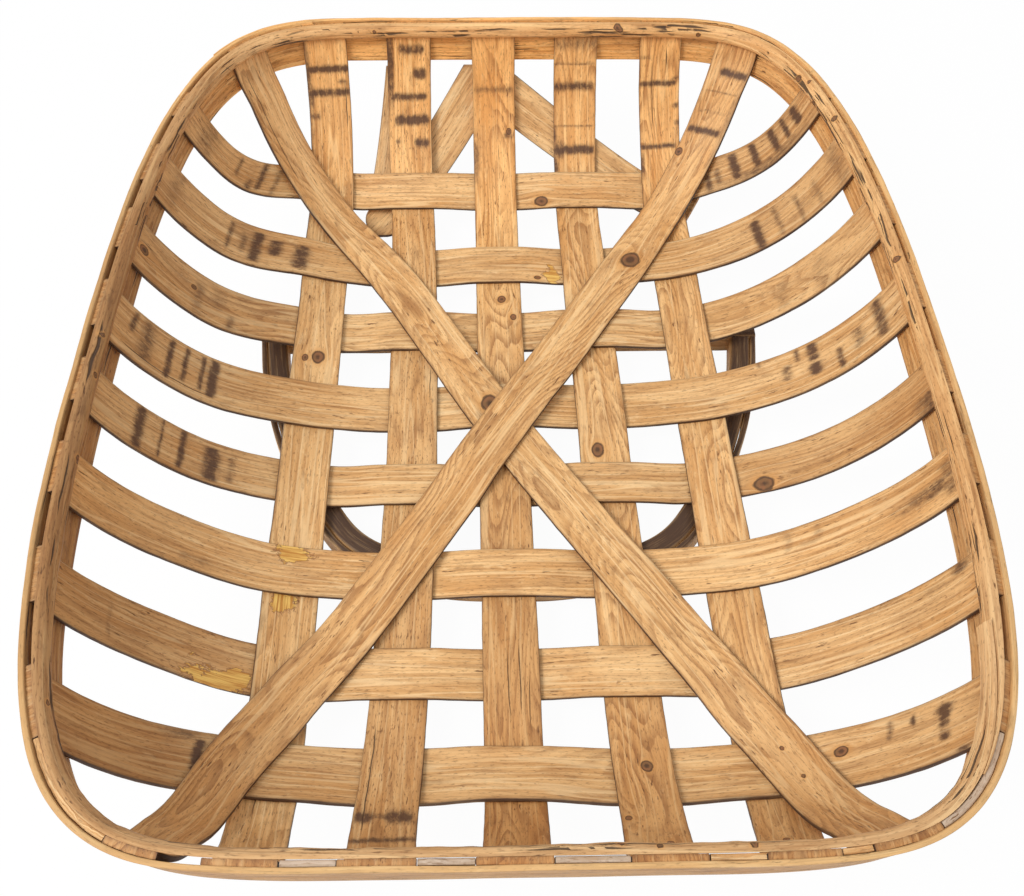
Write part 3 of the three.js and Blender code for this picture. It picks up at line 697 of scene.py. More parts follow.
# The tray's usual wood: colours, strengths from 0 to 1, counts, reliefs in millimetres, and no marks
honeyWood = {
    "pale": paint(236, 192, 134),
    "deep": paint(213, 163, 104),
    "warm": paint(208, 148, 82),
    "drab": paint(186, 144, 98),
    "line": paint(150, 100, 54),
    "ridge": paint(246, 212, 160),
    "stain": paint(126, 88, 52),
    # dark colour at the edges: painted shade with grime
    "border": paint(70, 46, 28),
    "dark": paint(54, 34, 20),
    "knot": paint(140, 92, 56),
    # colour of the scorch marks, and of the painted shade at a splint's ends
    "scorchAndShade": paint(78, 49, 32),
    "tornPale": paint(236, 192, 104),
    "tornDeep": paint(192, 132, 58),
    # tints of age and warmth, which also lay in painted shade and painted light
    "ageAndShadeTint": (0.66, 0.56, 0.46, 1.0),
    "goldAndLightTint": (1.2, 1.0, 0.7, 1.0),
    "ageAndShade": [(0, 0.0)],
    "goldAndLight": [(0, 0.0)],
    "evenAgeAndShade": 0.55,           # age, with its painted shade, follows the tone, by so much at its least and so much more
    "unevenAgeAndShade": 0.9,
    "patchiness": 0.42,
    "drabness": 0.38,
    "scuffStrength": 0.55,
    "ringsPerMetre": 120.0,
    "ringCount": 17.0,         # rings that the slow noise sweeps through
    "ringStretch": 3.4,        # features of that noise to the metre along the grain
    "ringNoise": (21, 1.5, 0.4),  # its features to the metre across the grain, detail and roughness
    "ringJitter": 0.55,
    "ringFade": 0.75,
    "ringStrength": 0.42,
    "fibreStrength": 0.64,
    "speckleStrength": 0.62,
    "fleckStrength": 0.95,
    "loneFlecks": 0.18,        # strength of the flecks outside their patches
    "ridgeStrength": 0.5,
    "stainStrength": 0.4,
    "borderStrength": 1.0,
    "borderRun": 0.5,          # reach of the painted edge shade and grime
    "borderBase": 0.5,         # the edge shade and grime follow the fibre, by so much at its least
    "crackStrength": 0.9,
    "haloStrength": 0.55,
    "rimStrength": 0.75,
    "knotRaggedness": 1.5,
    "tornRaggedness": 2.4,
    "scorchStrength": 0.94,
    "scorchBase": -0.15,       # a scorch is multiplied by this plus so much of its noise
    "scorchGrain": 2.3,
    "roughness": 0.58,         # the fibre takes it down by the first value below and up by the second
    "smoothing": 0.08,
    "roughening": 0.12,
    "gloss": 0.4,
    "waviness": 1.1,
    "fibreRise": -0.3,
    "ridgeRise": 0.2,
    "fleckRise": -0.25,
    "ringRise": -0.1,
    "crackRise": -0.9,
    "knotRise": -0.4,
    "chipRise": -0.8,
    "speckleRise": -0.08,
    "bump": 0.6,
    "relief": 0.1,             # of the mesh itself
    "scorches": [],
    "knots": [],
    "chips": [],
    "cracks": [],
}

# Each wood is the honey one with some values changed
woodLooks = {
    "honey": honeyWood,
    "swirled": {
        **honeyWood,
        "ringsPerMetre": 40.0, "ringCount": 30.0, "ringStretch": 4.2, "ringStrength": 0.66,
        "fibreStrength": 0.5,
    },
    "straight": {
        **honeyWood,
        "ringsPerMetre": 230.0, "ringCount": 9.0, "ringStretch": 2.4, "ringStrength": 0.42,
    },
    "bark": {
        **honeyWood,
        "pale": paint(240, 200, 148), "deep": paint(218, 172, 118),
        "ringsPerMetre": 190.0, "ringCount": 9.0, "ringStretch": 2.6, "ringStrength": 0.4,
        "patchiness": 0.3, "stainStrength": 0.42, "fleckStrength": 1.0, "scuffStrength": 0.45,
        "drabness": 0.22, "waviness": 0.9, "bump": 1.0,
    },
    "grey": {
        **honeyWood,
        "pale": paint(208, 190, 170), "deep": paint(180, 158, 134), "warm": paint(176, 148, 116),
        "ridge": paint(224, 208, 190), "ringStrength": 0.2, "ageAndShade": [(0, 0.15)],
    },
    "foot": {**honeyWood, "ageAndShade": [(0, 0.12)], "ringStrength": 0.35, "bump": 0.8},
}


# A look is one of the woods above, with the marks and changes that a piece's own values name
def lookFor(values):
    return {**woodLooks[values["wood"]], **values.get("marks", {})}


print("materials ready")


# Woven splints

weaveGrid = {
    "stationStep": 2.0,        # between sections along a splint
    "rowStep": 1.6,            # between points across it
    "edgeRound": 0.7,
    "edgeWander": 0.4,         # how far an edge strays from straight
    "edgeWaves": (190, 12, 8),  # longest and shortest wave of an edge's straying, and how many
    "otherEdge": 50,           # from the left edge's seed to the right one's
    "cup": 0.15,               # how far a splint is dished across
    "cupLevel": 0.4,           # part of the dish that lies under the splint's level
    "cupTurn": 2.4,            # radians from one seed's share of the dish to the next one's
    "flatEnd": 10.0,           # length of an end that isn't dished, and the run over which it begins
    "cupRun": 25.0,
    "endSwell": 0.38,          # half thickness that an end gains where the rim grips it
    "swellRun": 14.0,
    "samples": 601,            # points along a splint's line, from which its even steps are taken
    "sideStart": 170.0,        # place across where a cross splint's ends start to shift aside
    "sideRun": 80.0,
    "climbPower": 4,
}

# across and along are shares of the curved floor and wall, and the shifts move a splint's ends.
# Marks are millimetres from a splint's middle. scorches: (along, from, to, length, strength, slant);
# knots: (along, across, radius); chips: (along, across, length, width); cracks: (from, to, across,
# half width). The age and gold pairs say how brown and how yellow the wood is at places along it;
# they also lay in painted shade and painted light, such as the brighter far ends of the long splints.
longSplints = [
    {
        "across": -0.4588, "width": 39.5, "lean": -0.007, "bow": 0.0, "nearShift": 16.0, "farShift": 0.0,
        "wood": "honey",
        "marks": {
            "scorches": [
                (376, -20, 20, 2.6, 0.9, 0.04), (397, -20, 20, 2.4, 1.0, 0.03),
                (354, -20, -9, 3.0, 0.6, 0.0), (371, -20, -14, 9.0, 0.7, 0.0),
                (386, 8, 18, 1.6, 0.6, 0.0), (388, -22, -16, 30.0, 0.7, 0.0),
            ],
            "knots": [(83, 1.0, 4.4), (81, -9.5, 2.6)],
            "chips": [(-145, -4.5, 20, 17)],
            "cracks": [(330, 400, 15.5, 0.35), (-330, -250, -6, 0.2)],
            "ageAndShade": [(-436, 0.4), (-300, 0.02), (-150, 0.0), (0, 0.08), (250, 0.0), (300, 0.0)],
            "goldAndLight": [(230, 0.1), (300, 0.45), (436, 0.7)],
        },
    },
    {
        "across": -0.2244, "width": 40.0, "lean": -0.012, "bow": -11.0, "nearShift": 11.0, "farShift": 7.0,
        "wood": "honey",
        "marks": {
            "scorches": [
                (-351, -20, 20, 3.0, 0.75, 0.03), (-321, -19, -7, 5.0, 0.85, 0.0),
                (-321, 0, 17, 5.4, 0.9, 0.0), (-320, -9, 3, 3.0, 0.6, 0.0), (334, 4, 18, 3.0, 0.9, 0.0),
                (355, -14, 18, 3.4, 1.0, 0.02), (376, -18, 16, 2.6, 0.85, 0.0),
                (397, 3, 16, 3.6, 0.95, 0.0), (419, -10, 14, 3.6, 0.8, 0.0),
                (404, -22, -14, 30.0, 0.8, 0.0), (335, -14, -8, 2.0, 0.6, 0.0),
            ],
            "cracks": [(-355, -225, -13.5, 0.3), (20, 90, 14, 0.22)],
            "ageAndShade": [
                (-443, 0.9), (-330, 0.6), (-200, 0.55), (-120, 0.45), (0, 0.4), (100, 0.4), (260, 0.3),
                (300, 0.0),
            ],
            "goldAndLight": [(200, 0.1), (300, 0.5), (443, 0.75)],
            "speckleStrength": 0.9,
        },
    },
    {
        "across": -0.0184, "width": 39.5, "lean": -0.014, "bow": 0.0, "nearShift": -4.0, "farShift": 0.0,
        "wood": "swirled",
        "marks": {
            "scorches": [
                (382, -19, 19, 2.6, 0.5, 0.0), (318, -22, -14, 18.0, 0.55, 0.0),
                (340, 8, 18, 2.4, 0.6, 0.0),
            ],
            "knots": [(129.5, 12.0, 2.8), (153, 2.5, 3.6), (344, 13.7, 2.2)],
            "cracks": [
                (-250, -165, 6, 0.25), (-255, -170, -2, 0.2), (-262, -190, 12, 0.2), (300, 345, 4, 0.3),
            ],
            "ageAndShade": [
                (-443, 1.3), (-320, 1.2), (-290, 0.9), (-200, 0.7), (-60, 0.4), (60, 0.25), (250, 0.0),
                (443, 0.0),
            ],
            "goldAndLight": [(-260, 0.3), (-150, 0.15), (100, 0.2), (240, 0.5), (443, 0.8)],
        },
    },
    {
        "across": 0.2075, "width": 39.5, "lean": -0.026, "bow": 0.0, "nearShift": -10.0, "farShift": 0.0,
        "wood": "swirled",
        "marks": {
            "scorches": [
                (327, -20, 18, 3.0, 1.0, 0.02), (327, -20, -9, 6.0, 0.8, 0.0),
                (348.5, -20, 18, 0.9, 0.6, 0.0), (385, -20, 18, 3.0, 0.8, 0.03),
                (405.5, -20, 18, 1.0, 0.6, 0.0), (424, -20, 20, 5.0, 0.5, 0.0),
                (312, -22, -16, 6.0, 0.9, 0.0), (340, -22, -17, 5.0, 0.8, 0.0),
            ],
            "knots": [(-326.5, -15.0, 2.4), (-275.5, 2.2, 3.4), (-362, 6.7, 2.0), (-12, -5.7, 4.6)],
            "ageAndShade": [
                (-443, 0.75), (-300, 0.6), (-230, 0.5), (-180, 0.15), (0, 0.12), (250, 0.08), (443, 0.05),
            ],
            "goldAndLight": [(-230, 0.25), (0, 0.15), (250, 0.3), (320, 0.55), (443, 0.6)],
        },
    },
    {
        "across": 0.4362, "width": 38.0, "lean": -0.023, "bow": 0.0, "nearShift": -22.0, "farShift": -5.0,
        "wood": "swirled",
        "marks": {
            "scorches": [
                (327, -19, 15, 1.8, 0.8, 0.02), (384.5, -19, 16, 2.0, 0.85, 0.02),
                (364, 12, 19, 2.0, 0.7, 0.0), (348, 14, 20, 2.0, 0.7, 0.0), (389, 12, 19, 1.6, 0.7, 0.0),
                (310, -22, -15, 9.0, 0.8, 0.0), (408, -20, -6, 1.4, 0.5, 0.0),
            ],
            "knots": [(-357, -2.0, 2.0)],
            "cracks": [(384, 430, 6.2, 0.7), (330, 420, -7, 0.25)],
            "ageAndShade": [(-440, 0.7), (-310, 0.55), (-200, 0.2), (0, 0.15), (250, 0.05), (440, 0.0)],
            "goldAndLight": [(200, 0.2), (280, 0.6), (440, 0.65)],
        },
    },
]

crossSplints = [
    {
        "along": 0.6844, "width": 35.0, "lean": 0.0, "leftShift": -34.0, "rightShift": -14.0,
        "wood": "straight",
        "marks": {
            "scorches": [
                (-295, -17, 17, 9.0, 0.45, 0.0), (-257, -9, 14, 1.8, 0.6, 0.0),
                (-242, -17, -4, 3.0, 0.6, 0.0), (-232, -14, 17, 2.6, 0.75, 0.1),
                (-215, -17, 12, 3.0, 0.5, 0.15), (197, -17, 6, 3.0, 0.7, 0.12),
                (207, -12, 6, 3.0, 0.6, 0.12), (225, -13, 15, 3.6, 0.95, 0.1),
                (247, -11, 15, 3.0, 0.9, 0.1), (270, -9, 15, 3.2, 0.95, 0.08),
                (285, -8, 15, 2.4, 0.85, 0.08), (300, -6, 14, 3.4, 1.0, 0.06),
                (256, -18, -8, 40.0, 0.55, 0.0),
            ],
            "knots": [(37.5, -10.5, 5.0)],
            "ageAndShade": [(-335, 0.3), (-230, 0.2), (-140, 0.0), (150, 0.05), (220, 0.4), (335, 0.6)],
            "goldAndLight": [(-335, 0.1), (335, 0.1)],
        },
    },
    {
        "along": 0.469, "width": 45.0, "lean": 0.008, "leftShift": -17.0, "rightShift": -1.0,
        "wood": "honey",
        "marks": {
            "scorches": [
                (-316, -20, 22, 6.0, 0.35, 0.0), (-255, -14, 17, 2.0, 0.65, 0.0),
                (-241, -12, 12, 3.4, 0.5, 0.0), (-229, -18, 17, 4.6, 0.85, 0.0),
                (-211, -6.5, 12, 5.0, 0.85, 0.0), (-186, -17, 12, 5.6, 0.85, 0.0),
                (232, -22, 12, 3.4, 0.95, 0.0), (253, -20, 16, 2.6, 0.5, 0.0),
                (275, -22, 12, 2.4, 0.5, 0.0), (296, -20, 10, 3.0, 0.4, 0.0),
                (323, -22, 22, 7.0, 0.4, 0.0),
            ],
            "chips": [(41, -12, 14, 20)],
            "knots": [(28, -17, 2.4)],
            "ageAndShade": [(-349, 0.4), (-200, 0.2), (-100, 0.08), (120, 0.1), (230, 0.35), (349, 0.55)],
        },
    },
    {
        "along": 0.2788, "width": 43.5, "lean": 0.01, "leftShift": -13.0, "rightShift": 1.0,
        "wood": "swirled",
        "marks": {
            "scorches": [
                (-238, -21, -6, 3.6, 0.5, 0.0), (-252, -6, 16, 6.0, 0.35, 0.0),
                (-270, -21, 14, 5.0, 0.4, 0.0), (240, -18, 12, 6.0, 0.35, 0.0),
                (278, -20, 10, 8.0, 0.3, 0.0),
            ],
            "knots": [(-329, -1.0, 3.2), (-276, 4.0, 2.4)],
            "cracks": [(-350, -300, 5, 0.4), (-345, -305, -8, 0.35)],
            "ageAndShade": [(-354, 0.65), (-250, 0.45), (-190, 0.35), (-130, 0.1), (150, 0.08), (354, 0.3)],
        },
    },
    {
        "along": 0.0778, "width": 45.0, "lean": 0.012, "leftShift": -6.0, "rightShift": -2.0,
        "wood": "straight",
        "marks": {
            "scorches": [
                (-322, 0, 20, 2.4, 0.75, 0.12), (-306, -16, 20, 5.6, 0.6, 0.0),
                (-283.5, -18, 20, 2.2, 0.85, 0.0), (-269.5, -13, 20, 1.8, 0.8, 0.0),
                (-254.5, -14, 20, 1.8, 0.75, 0.0), (-245, -16, 20, 3.2, 1.0, 0.0),
                (229, -6, 9, 3.4, 0.6, 0.1), (240, 8, 21, 2.0, 0.7, 0.0), (253, -11, 1, 4.0, 1.0, 0.0),
                (253, 3, 20, 3.4, 1.0, 0.02), (275, -18, 2, 2.4, 0.75, 0.0), (294, -10, 9, 5.0, 0.5, 0.0),
                (316.5, -16, 20, 4.6, 0.7, 0.0), (208, 16, 22, 1.6, 0.6, 0.0),
            ],
            "cracks": [(-345, -225, -15, 0.3)],
            "ageAndShade": [(-356, 0.5), (-230, 0.3), (-110, 0.1), (200, 0.05), (356, 0.3)],
        },
    },
    {
        "along": -0.1077, "width": 37.5, "lean": 0.0, "leftShift": -3.0, "rightShift": -3.0,
        "wood": "straight",
        "marks": {
            "scorches": [
                (-295.5, -18, 18, 3.4, 0.9, 0.0), (-276, -16, 18, 1.3, 0.7, 0.0),
                (-258, -16, 18, 2.2, 0.9, 0.0), (-233.5, -17, 13, 5.0, 0.85, 0.0),
                (-218, -15, 10, 3.0, 0.45, 0.0), (335, -19, -4, 9.0, 0.6, 0.0),
            ],
            "knots": [(194, -12.0, 6.0)],
            "ageAndShade": [
                (-356, 0.55), (-220, 0.35), (-130, 0.12), (120, 0.15), (200, 0.5), (260, 0.45),
                (356, 0.85),
            ],
        },
    },
    {
        "along": -0.2979, "width": 39.5, "lean": 0.0, "leftShift": 4.0, "rightShift": 3.0,
        "wood": "straight",
        "marks": {
            "scorches": [
                (320, -8, 3, 26.0, 0.6, 0.0), (335, -14, 12, 8.0, 0.5, 0.0), (203, 2, 17, 3.0, 0.4, 0.0),
                (226, 4, 16, 3.0, 0.35, 0.0), (-232, -15, -8, 14.0, 0.35, 0.0),
            ],
            "chips": [(-164.5, 14, 22, 17)],
            "ageAndShade": [(-354, 0.4), (-240, 0.2), (-120, 0.08), (150, 0.0), (354, 0.25)],
            "goldAndLight": [(-354, 0.25), (-200, 0.1), (354, 0.15)],
        },
    },
    {
        "along": -0.487, "width": 38.0, "lean": 0.0, "leftShift": 5.0, "rightShift": 2.0,
        "wood": "straight",
        "marks": {
            "scorches": [
                (-72, -9, -2, 60.0, 0.22, 0.0), (58, -9, -3, 50.0, 0.22, 0.0),
                (-286, -14, 12, 1.6, 0.35, 0.0), (321, 11, 19, 6.0, 0.7, 0.0),
                (300, 8, 13, 16.0, 0.4, 0.0),
            ],
            "chips": [(-206, -15, 46, 17), (-190, -9, 20, 14)],
            "ageAndShade": [
                (-349, 1.0), (-240, 0.6), (-150, 0.2), (-100, 0.0), (120, 0.0), (180, 0.1), (349, 0.35),
            ],
        },
    },
    {
        "along": -0.6691, "width": 44.5, "lean": -0.014, "leftShift": -4.0, "rightShift": -1.0,
        "wood": "honey",
        "marks": {
            "scorches": [
                (-208, -7, 17, 2.6, 1.0, 0.25), (-216, 14, 22, 12.0, 0.5, 0.0),
                (282, -9, -2, 3.0, 1.0, 0.0), (281, 0, 16, 3.0, 1.0, 0.0), (281, 8, 16, 4.4, 1.0, 0.0),
                (258, 9, 17, 1.6, 0.8, 0.0), (242, 4, 18, 1.8, 0.6, 0.0), (299, -22, -19, 6.0, 0.9, 0.0),
            ],
            "knots": [(209.5, 5.5, 3.6)],
            "ageAndShade": [
                (-330, 1.2), (-240, 1.0), (-180, 0.35), (0, 0.15), (150, 0.12), (200, 0.25), (330, 0.5),
            ],
            "fleckStrength": 0.5,
        },
    },
]


# Plan place across of a long splint: its place on the curved floor, plus its lean, its bow and
# the fourth power of its climb towards the rim
def longX(splint, y, offset=0.0):
    x = wallPlace(splint["across"] * sideArc + offset, flatX, endsX0, sideLean)
    climb = np.clip((np.abs(y) - flatY) / (endsY0 - flatY), 0, 1)
    endShift = np.where(y < 0, splint["nearShift"], splint["farShift"]) * climb ** weaveGrid["climbPower"]
    return x + splint["lean"] * y + splint["bow"] * (y / endsY0) ** 2 + endShift


# Plan place along the tray of a cross splint, its ends eased aside over the last part of each side
def crossY(splint, x, offset=0.0):
    y = wallPlace(splint["along"] * endArc + offset, flatY, endsY0, endLean)
    sideShare = easeInOut((np.abs(x) - weaveGrid["sideStart"]) / weaveGrid["sideRun"])
    return y + splint["lean"] * x + np.where(x < 0, splint["leftShift"], splint["rightShift"]) * sideShare


# Lift of a splint between crossings, each of which holds its own level
def liftBetween(place, crossings):
    lift = np.full(place.shape, float(crossings[0][2]))
    isOpen = np.ones(place.shape, bool)
    for (beforeAt, beforeHold, beforeLift), (at, hold, level) in zip(crossings, crossings[1:]):
        start, stop = beforeAt + beforeHold, at - hold
        inRun = isOpen & (place <= stop)
        eased = mix(beforeLift, level, easeInOut((place - start) / (stop - start)))
        lift = np.where(inRun, eased, lift)
        isOpen &= ~inRun
        lift = np.where(isOpen, level, lift)
        isOpen &= place >= at + hold
    return lift


# Ends of a strip's rows: the last values at which placeAt lies inside the outline
def rowEnds(placeAt, reach, offsets):
    low, middle, high = reach
    inside = np.full(offsets.shape, middle)
    return [lastThatHolds(lambda value: isInside(*placeAt(value, offsets)), inside, outside)
            for outside in (low, high)]


# Places across a woven splint and the half thickness at each
def splintSection(width):
    return stripSection(width, thickness, weaveGrid["rowStep"], weaveGrid["edgeRound"])


# Strip laid over the sheet. placeAt gives x and y for a value along it and an offset across it;
# its rows are cut where they leave the outline, and its stations are even steps of length.
def laidStrip(name, placeAt, reach, width, liftAt, look, seed):
    places, half = splintSection(width)
    start, end = rowEnds(placeAt, reach, places)
    samples = np.linspace(0, 1, weaveGrid["samples"])
    x, y = placeAt(mix(start.mean(), end.mean(), samples), 0.0)
    line = np.stack([x, y, sheetHeight(x, y)], -1)
    lengths = np.concatenate([[0], np.cumsum(np.linalg.norm(np.diff(line, axis=0), axis=1))])
    count = int(np.ceil(lengths[-1] / weaveGrid["stationStep"]))
    share = np.interp(np.linspace(0, lengths[-1], count + 1), lengths, samples)[:, None]
    along = np.linspace(-0.5, 0.5, count + 1) * lengths[-1]

    side = places / (width / 2)
    strayLeft, strayRight = (
        weaveGrid["edgeWander"] * wander(along, seed + shift, *weaveGrid["edgeWaves"])[:, None]
        for shift in (0, weaveGrid["otherEdge"])
    )
    across = places + np.where(side < 0, strayLeft, strayRight) * np.abs(side)
    x, y = placeAt(mix(start, end, share), across)
    middlePoint, normal = sheetPoint(x, y)
    fromEnd = np.minimum(share, 1 - share) * lengths[-1]
    freed = easeInOut((fromEnd - weaveGrid["flatEnd"]) / weaveGrid["cupRun"])
    dish = side ** 2 - weaveGrid["cupLevel"]
    cup = weaveGrid["cup"] * freed * dish * math.sin(seed * weaveGrid["cupTurn"])
    lift = liftAt(x, y, start, end) + cup
    middlePoint = middlePoint + normal * lift[..., None]
    swollen = half + weaveGrid["endSwell"] * (1 - easeInOut(fromEnd / weaveGrid["swellRun"]))
    return stripPiece(name, middlePoint, normal, across, swollen, along, look, seed)


# Distance from a crossing within which a splint keeps its level: half the other one's width and a margin
def crossingHold(splint):
    return splint["width"] / 2 + trayForm["crossingMargin"]


# A long splint lies over cross splints where their numbers add up to an even one
def longLevel(longNumber, crossNumber):
    return weaveLift if (longNumber + crossNumber) % 2 == 0 else -weaveLift


# Plan place on a long splint for a value along the tray and an offset across the splint
def longPlace(splint):
    return lambda y, offset: (longX(splint, y, offset), y + 0 * offset)


# The same for a cross splint, with a value across the tray
def crossPlace(splint):
    return lambda x, offset: (x + 0 * offset, crossY(splint, x, offset))


# Values between which a splint's two ends are sought, and one that lies inside the outline
longReach = (-endsY0, 0.0, endsY0)
crossReach = (-endsX0, 0.0, endsX0)

for index, splint in enumerate(longSplints):
    # The splint's level at each crossing and none at the rim, from the near end to the far one
    def longLift(x, y, start, end, index=index):
        crossings = [(crossY(other, x), crossingHold(other), longLevel(index, number))
                     for number, other in enumerate(crossSplints)]
        return liftBetween(y, [(start, gripHold, 0), *crossings[::-1], (end, gripHold, 0)])

    node = f"long_splint_{index + 1}"
    piece = laidStrip(node + "_wood", longPlace(splint), longReach, splint["width"], longLift,
                      lookFor(splint), index + 1)
    handOver(piece, node)

for index, splint in enumerate(crossSplints):
    # The same from the left end to the right one
    def crossLift(x, y, start, end, index=index):
        crossings = [(longX(other, y), crossingHold(other), -longLevel(number, index))
                     for number, other in enumerate(longSplints)]
        return liftBetween(x, [(start, gripHold, 0), *crossings, (end, gripHold, 0)])

    node = f"cross_splint_{index + 1}"
    piece = laidStrip(node + "_wood", crossPlace(splint), crossReach, splint["width"], crossLift,
                      lookFor(splint), index + 11)
    handOver(piece, node)

print("weave laid:", len(longSplints) + len(crossSplints), "splints")


# Diagonal splints over the weave

diagonalSplints = {
    "width": 40.0,
    "bridgeRun": 45.0,         # run over which the upper one rises over the lower one
    "releaseRun": 20.0,        # run over which an end comes down to the rim
    "cross": (-0.0205, 0.019),
    "crossShare": 0.5,         # share of each one's points at which they cross
}

# Points are shares of the outline of the splint ends
lowerDiagonal = {
    "points": [(-0.8456, 0.9788), (-0.6921, 0.8184), (-0.5387, 0.6688), (-0.3341, 0.4541), (-0.0205, 0.019),
               (0.3546, -0.435), (0.4978, -0.6145), (0.6001, -0.7722), (0.6819, -1.0223)],
    "wood": "swirled",
    "marks": {
        "knots": [(-35.5, -2.5, 7.0), (318, -2.0, 1.4), (345, -1.0, 1.6)],
        "cracks": [(-470, -330, 10, 0.25)],
        "ageAndShade": [(-478, 0.35), (-400, 0.05), (100, 0.0), (250, 0.1), (340, 0.45), (478, 0.6)],
        "goldAndLight": [(-478, 0.25), (-380, 0.1), (478, 0.1)],
    },
}

upperDiagonal = {
    "points": [(0.7535, 0.9897), (0.6069, 0.8238), (0.491, 0.6852), (0.3546, 0.5084), (-0.0205, 0.019),
               (-0.3682, -0.435), (-0.5285, -0.6172), (-0.6376, -0.783), (-0.6819, -1.0223)],
    "wood": "swirled",
    "marks": {
        "scorches": [(-442, -20, 9, 2.6, 0.95, 0.0), (-424.5, -18, 16, 0.9, 0.5, 0.0),
                     (-405.5, -16, 18, 0.9, 0.5, 0.0), (-387, -15, 18, 2.6, 0.9, 0.0),
                     (-400, -21, -14, 60.0, 0.35, 0.0), (105, 4, 10, 10.0, 0.3, 0.0)],
        "knots": [(-226, -0.8, 7.2), (-362, 16.5, 3.0)],
        "ageAndShade": [(-479, 0.3), (-350, 0.15), (-100, 0.1), (50, 0.3), (200, 0.3), (350, 0.5), (479, 0.65)],
        "goldAndLight": [(-479, 0.45), (-380, 0.25), (-200, 0.15), (100, 0.2), (479, 0.15)],
    },
}


shareStep = 1e-4


# Catmull-Rom curve through the points, at shares from 0 to 1 of its point count
def curvePoint(points, share):
    last = len(points) - 1
    place = np.clip(share, 0, 1) * last
    cell = np.minimum(place.astype(int), last - 1)
    part = (place - cell)[..., None]
    before, first, second, after = (points[np.clip(cell + step, 0, last)] for step in (-1, 0, 1, 2))
    pull, push = (second - before) / 2, (after - first) / 2
    cubic = (2 * first - 2 * second + pull + push) * part ** 3
    square = (3 * second - 3 * first - 2 * pull - push) * part ** 2
    return cubic + square + pull * part + first


# Unit vector along the curve, from a short step to either side
def curveHeading(points, share):
    step = curvePoint(points, share + shareStep) - curvePoint(points, share - shareStep)
    return step / np.linalg.norm(step, axis=-1, keepdims=True)


# Plan points from shares of the outline of the splint ends
def planPoints(shares):
    return np.array(shares) * (endsX0, endsY0)


# Plan place on a diagonal for a share along its curve; a row lies aside of the curve by its offset,
# measured on the sloping sheet
def diagonalPlace(points):
    def place(share, offset):
        share, offset = np.broadcast_arrays(np.asarray(share, float), offset)
        centre, way = curvePoint(points, share), curveHeading(points, share)
        aside = np.stack([way[..., 1], -way[..., 0]], -1)
        x, y = centre[..., 0], centre[..., 1]
        asideX, asideY = aside[..., 0], aside[..., 1]
        rise = sheetHeight(x + asideX, y + asideY) - sheetHeight(x - asideX, y - asideY)
        plan = offset / np.hypot(1, rise / 2)
        return x + asideX * plan, y + asideY * plan

    return place


# The upper one keeps its bridge's height as far as the lower one's edges, which the angle between
# them puts at half a width over its sine plus half a width over its tangent
crossPoint = planPoints(diagonalSplints["cross"])
crossShare = np.array(diagonalSplints["crossShare"])
lowerPoints, upperPoints = planPoints(lowerDiagonal["points"]), planPoints(upperDiagonal["points"])
lowerHeading, upperHeading = curveHeading(lowerPoints, crossShare), curveHeading(upperPoints, crossShare)
angleBetween = math.pi - math.acos(float(lowerHeading @ upperHeading))
halfCrossing = 1 / math.sin(angleBetween) + abs(1 / math.tan(angleBetween))
bridgeHold = diagonalSplints["width"] / 2 * halfCrossing + gripHold
layer = thickness + trayForm["layGap"]
diagonalReach = (0.0, 0.5, 1.0)
diagonalRows, _ = splintSection(diagonalSplints["width"])

# Each diagonal: its own values, points and heading, its rise at the crossing, seed and slot
for label, values, points, heading, bridge, seed, slotName in (
    ("lower", lowerDiagonal, lowerPoints, lowerHeading, 0, 21, "splint_brown"),
    ("upper", upperDiagonal, upperPoints, upperHeading, layer, 22, "splint_honey"),
):
    # A layer over the weave, plus the bridge at the crossing, eased to nothing at both ends
    def diagonalLift(x, y, start, end, points=points, heading=heading, bridge=bridge):
        run = np.abs((x - crossPoint[0]) * heading[0] + (y - crossPoint[1]) * heading[1])
        startX, startY = diagonalPlace(points)(start, diagonalRows)
        endX, endY = diagonalPlace(points)(end, diagonalRows)
        toEnd = np.minimum(np.hypot(x - startX, y - startY), np.hypot(x - endX, y - endY))
        rise = bridge * (1 - easeInOut((run - bridgeHold) / diagonalSplints["bridgeRun"]))
        release = easeInOut((toEnd - gripHold) / (diagonalSplints["releaseRun"] - gripHold))
        return (weaveLift + layer + rise) * release

    node = f"diagonal_splint_{label}"
    piece = laidStrip(node + "_wood", diagonalPlace(points), diagonalReach, diagonalSplints["width"],
                      diagonalLift, lookFor(values), seed)
    handOver(piece, node)

print("diagonals laid")


# Rim

rimShape = {
    "stationStep": 2.6,
    "outlinePoints": 1440,     # points round the rim from which its length is measured
    "lapLength": 100.0,        # of a closing joint, the run of its step aside and its tip's thickness
    "lapRun": 50.0,
    "lapTip": 1.0,
    "crackRun": (18, 90),      # least and greatest length of a scattered crack, and its half width
    "crackSize": (0.15, 0.6),
    "knotSize": (0.9, 2.4),    # least and greatest radius of a scattered knot
}

bandShape = {
    "height": 38.0,
    "jointAt": 122.0,          # degrees round the rim, from the right side
    "rowStep": 2.4,
    "edgeRound": 0.45,
    "ripple": 0.16,            # height of the waves in its faces
    "edgeStray": 0.5,          # how far the top edge strays, and how far under its full height
    "edgeDrop": 0.3,
    "edgeWaves": (240, 14, 8),
    "seed": 31,
    "markSeed": 35,
    "markSpread": 18.0,
    "crackCount": 90,
    "knotCount": 0,
}

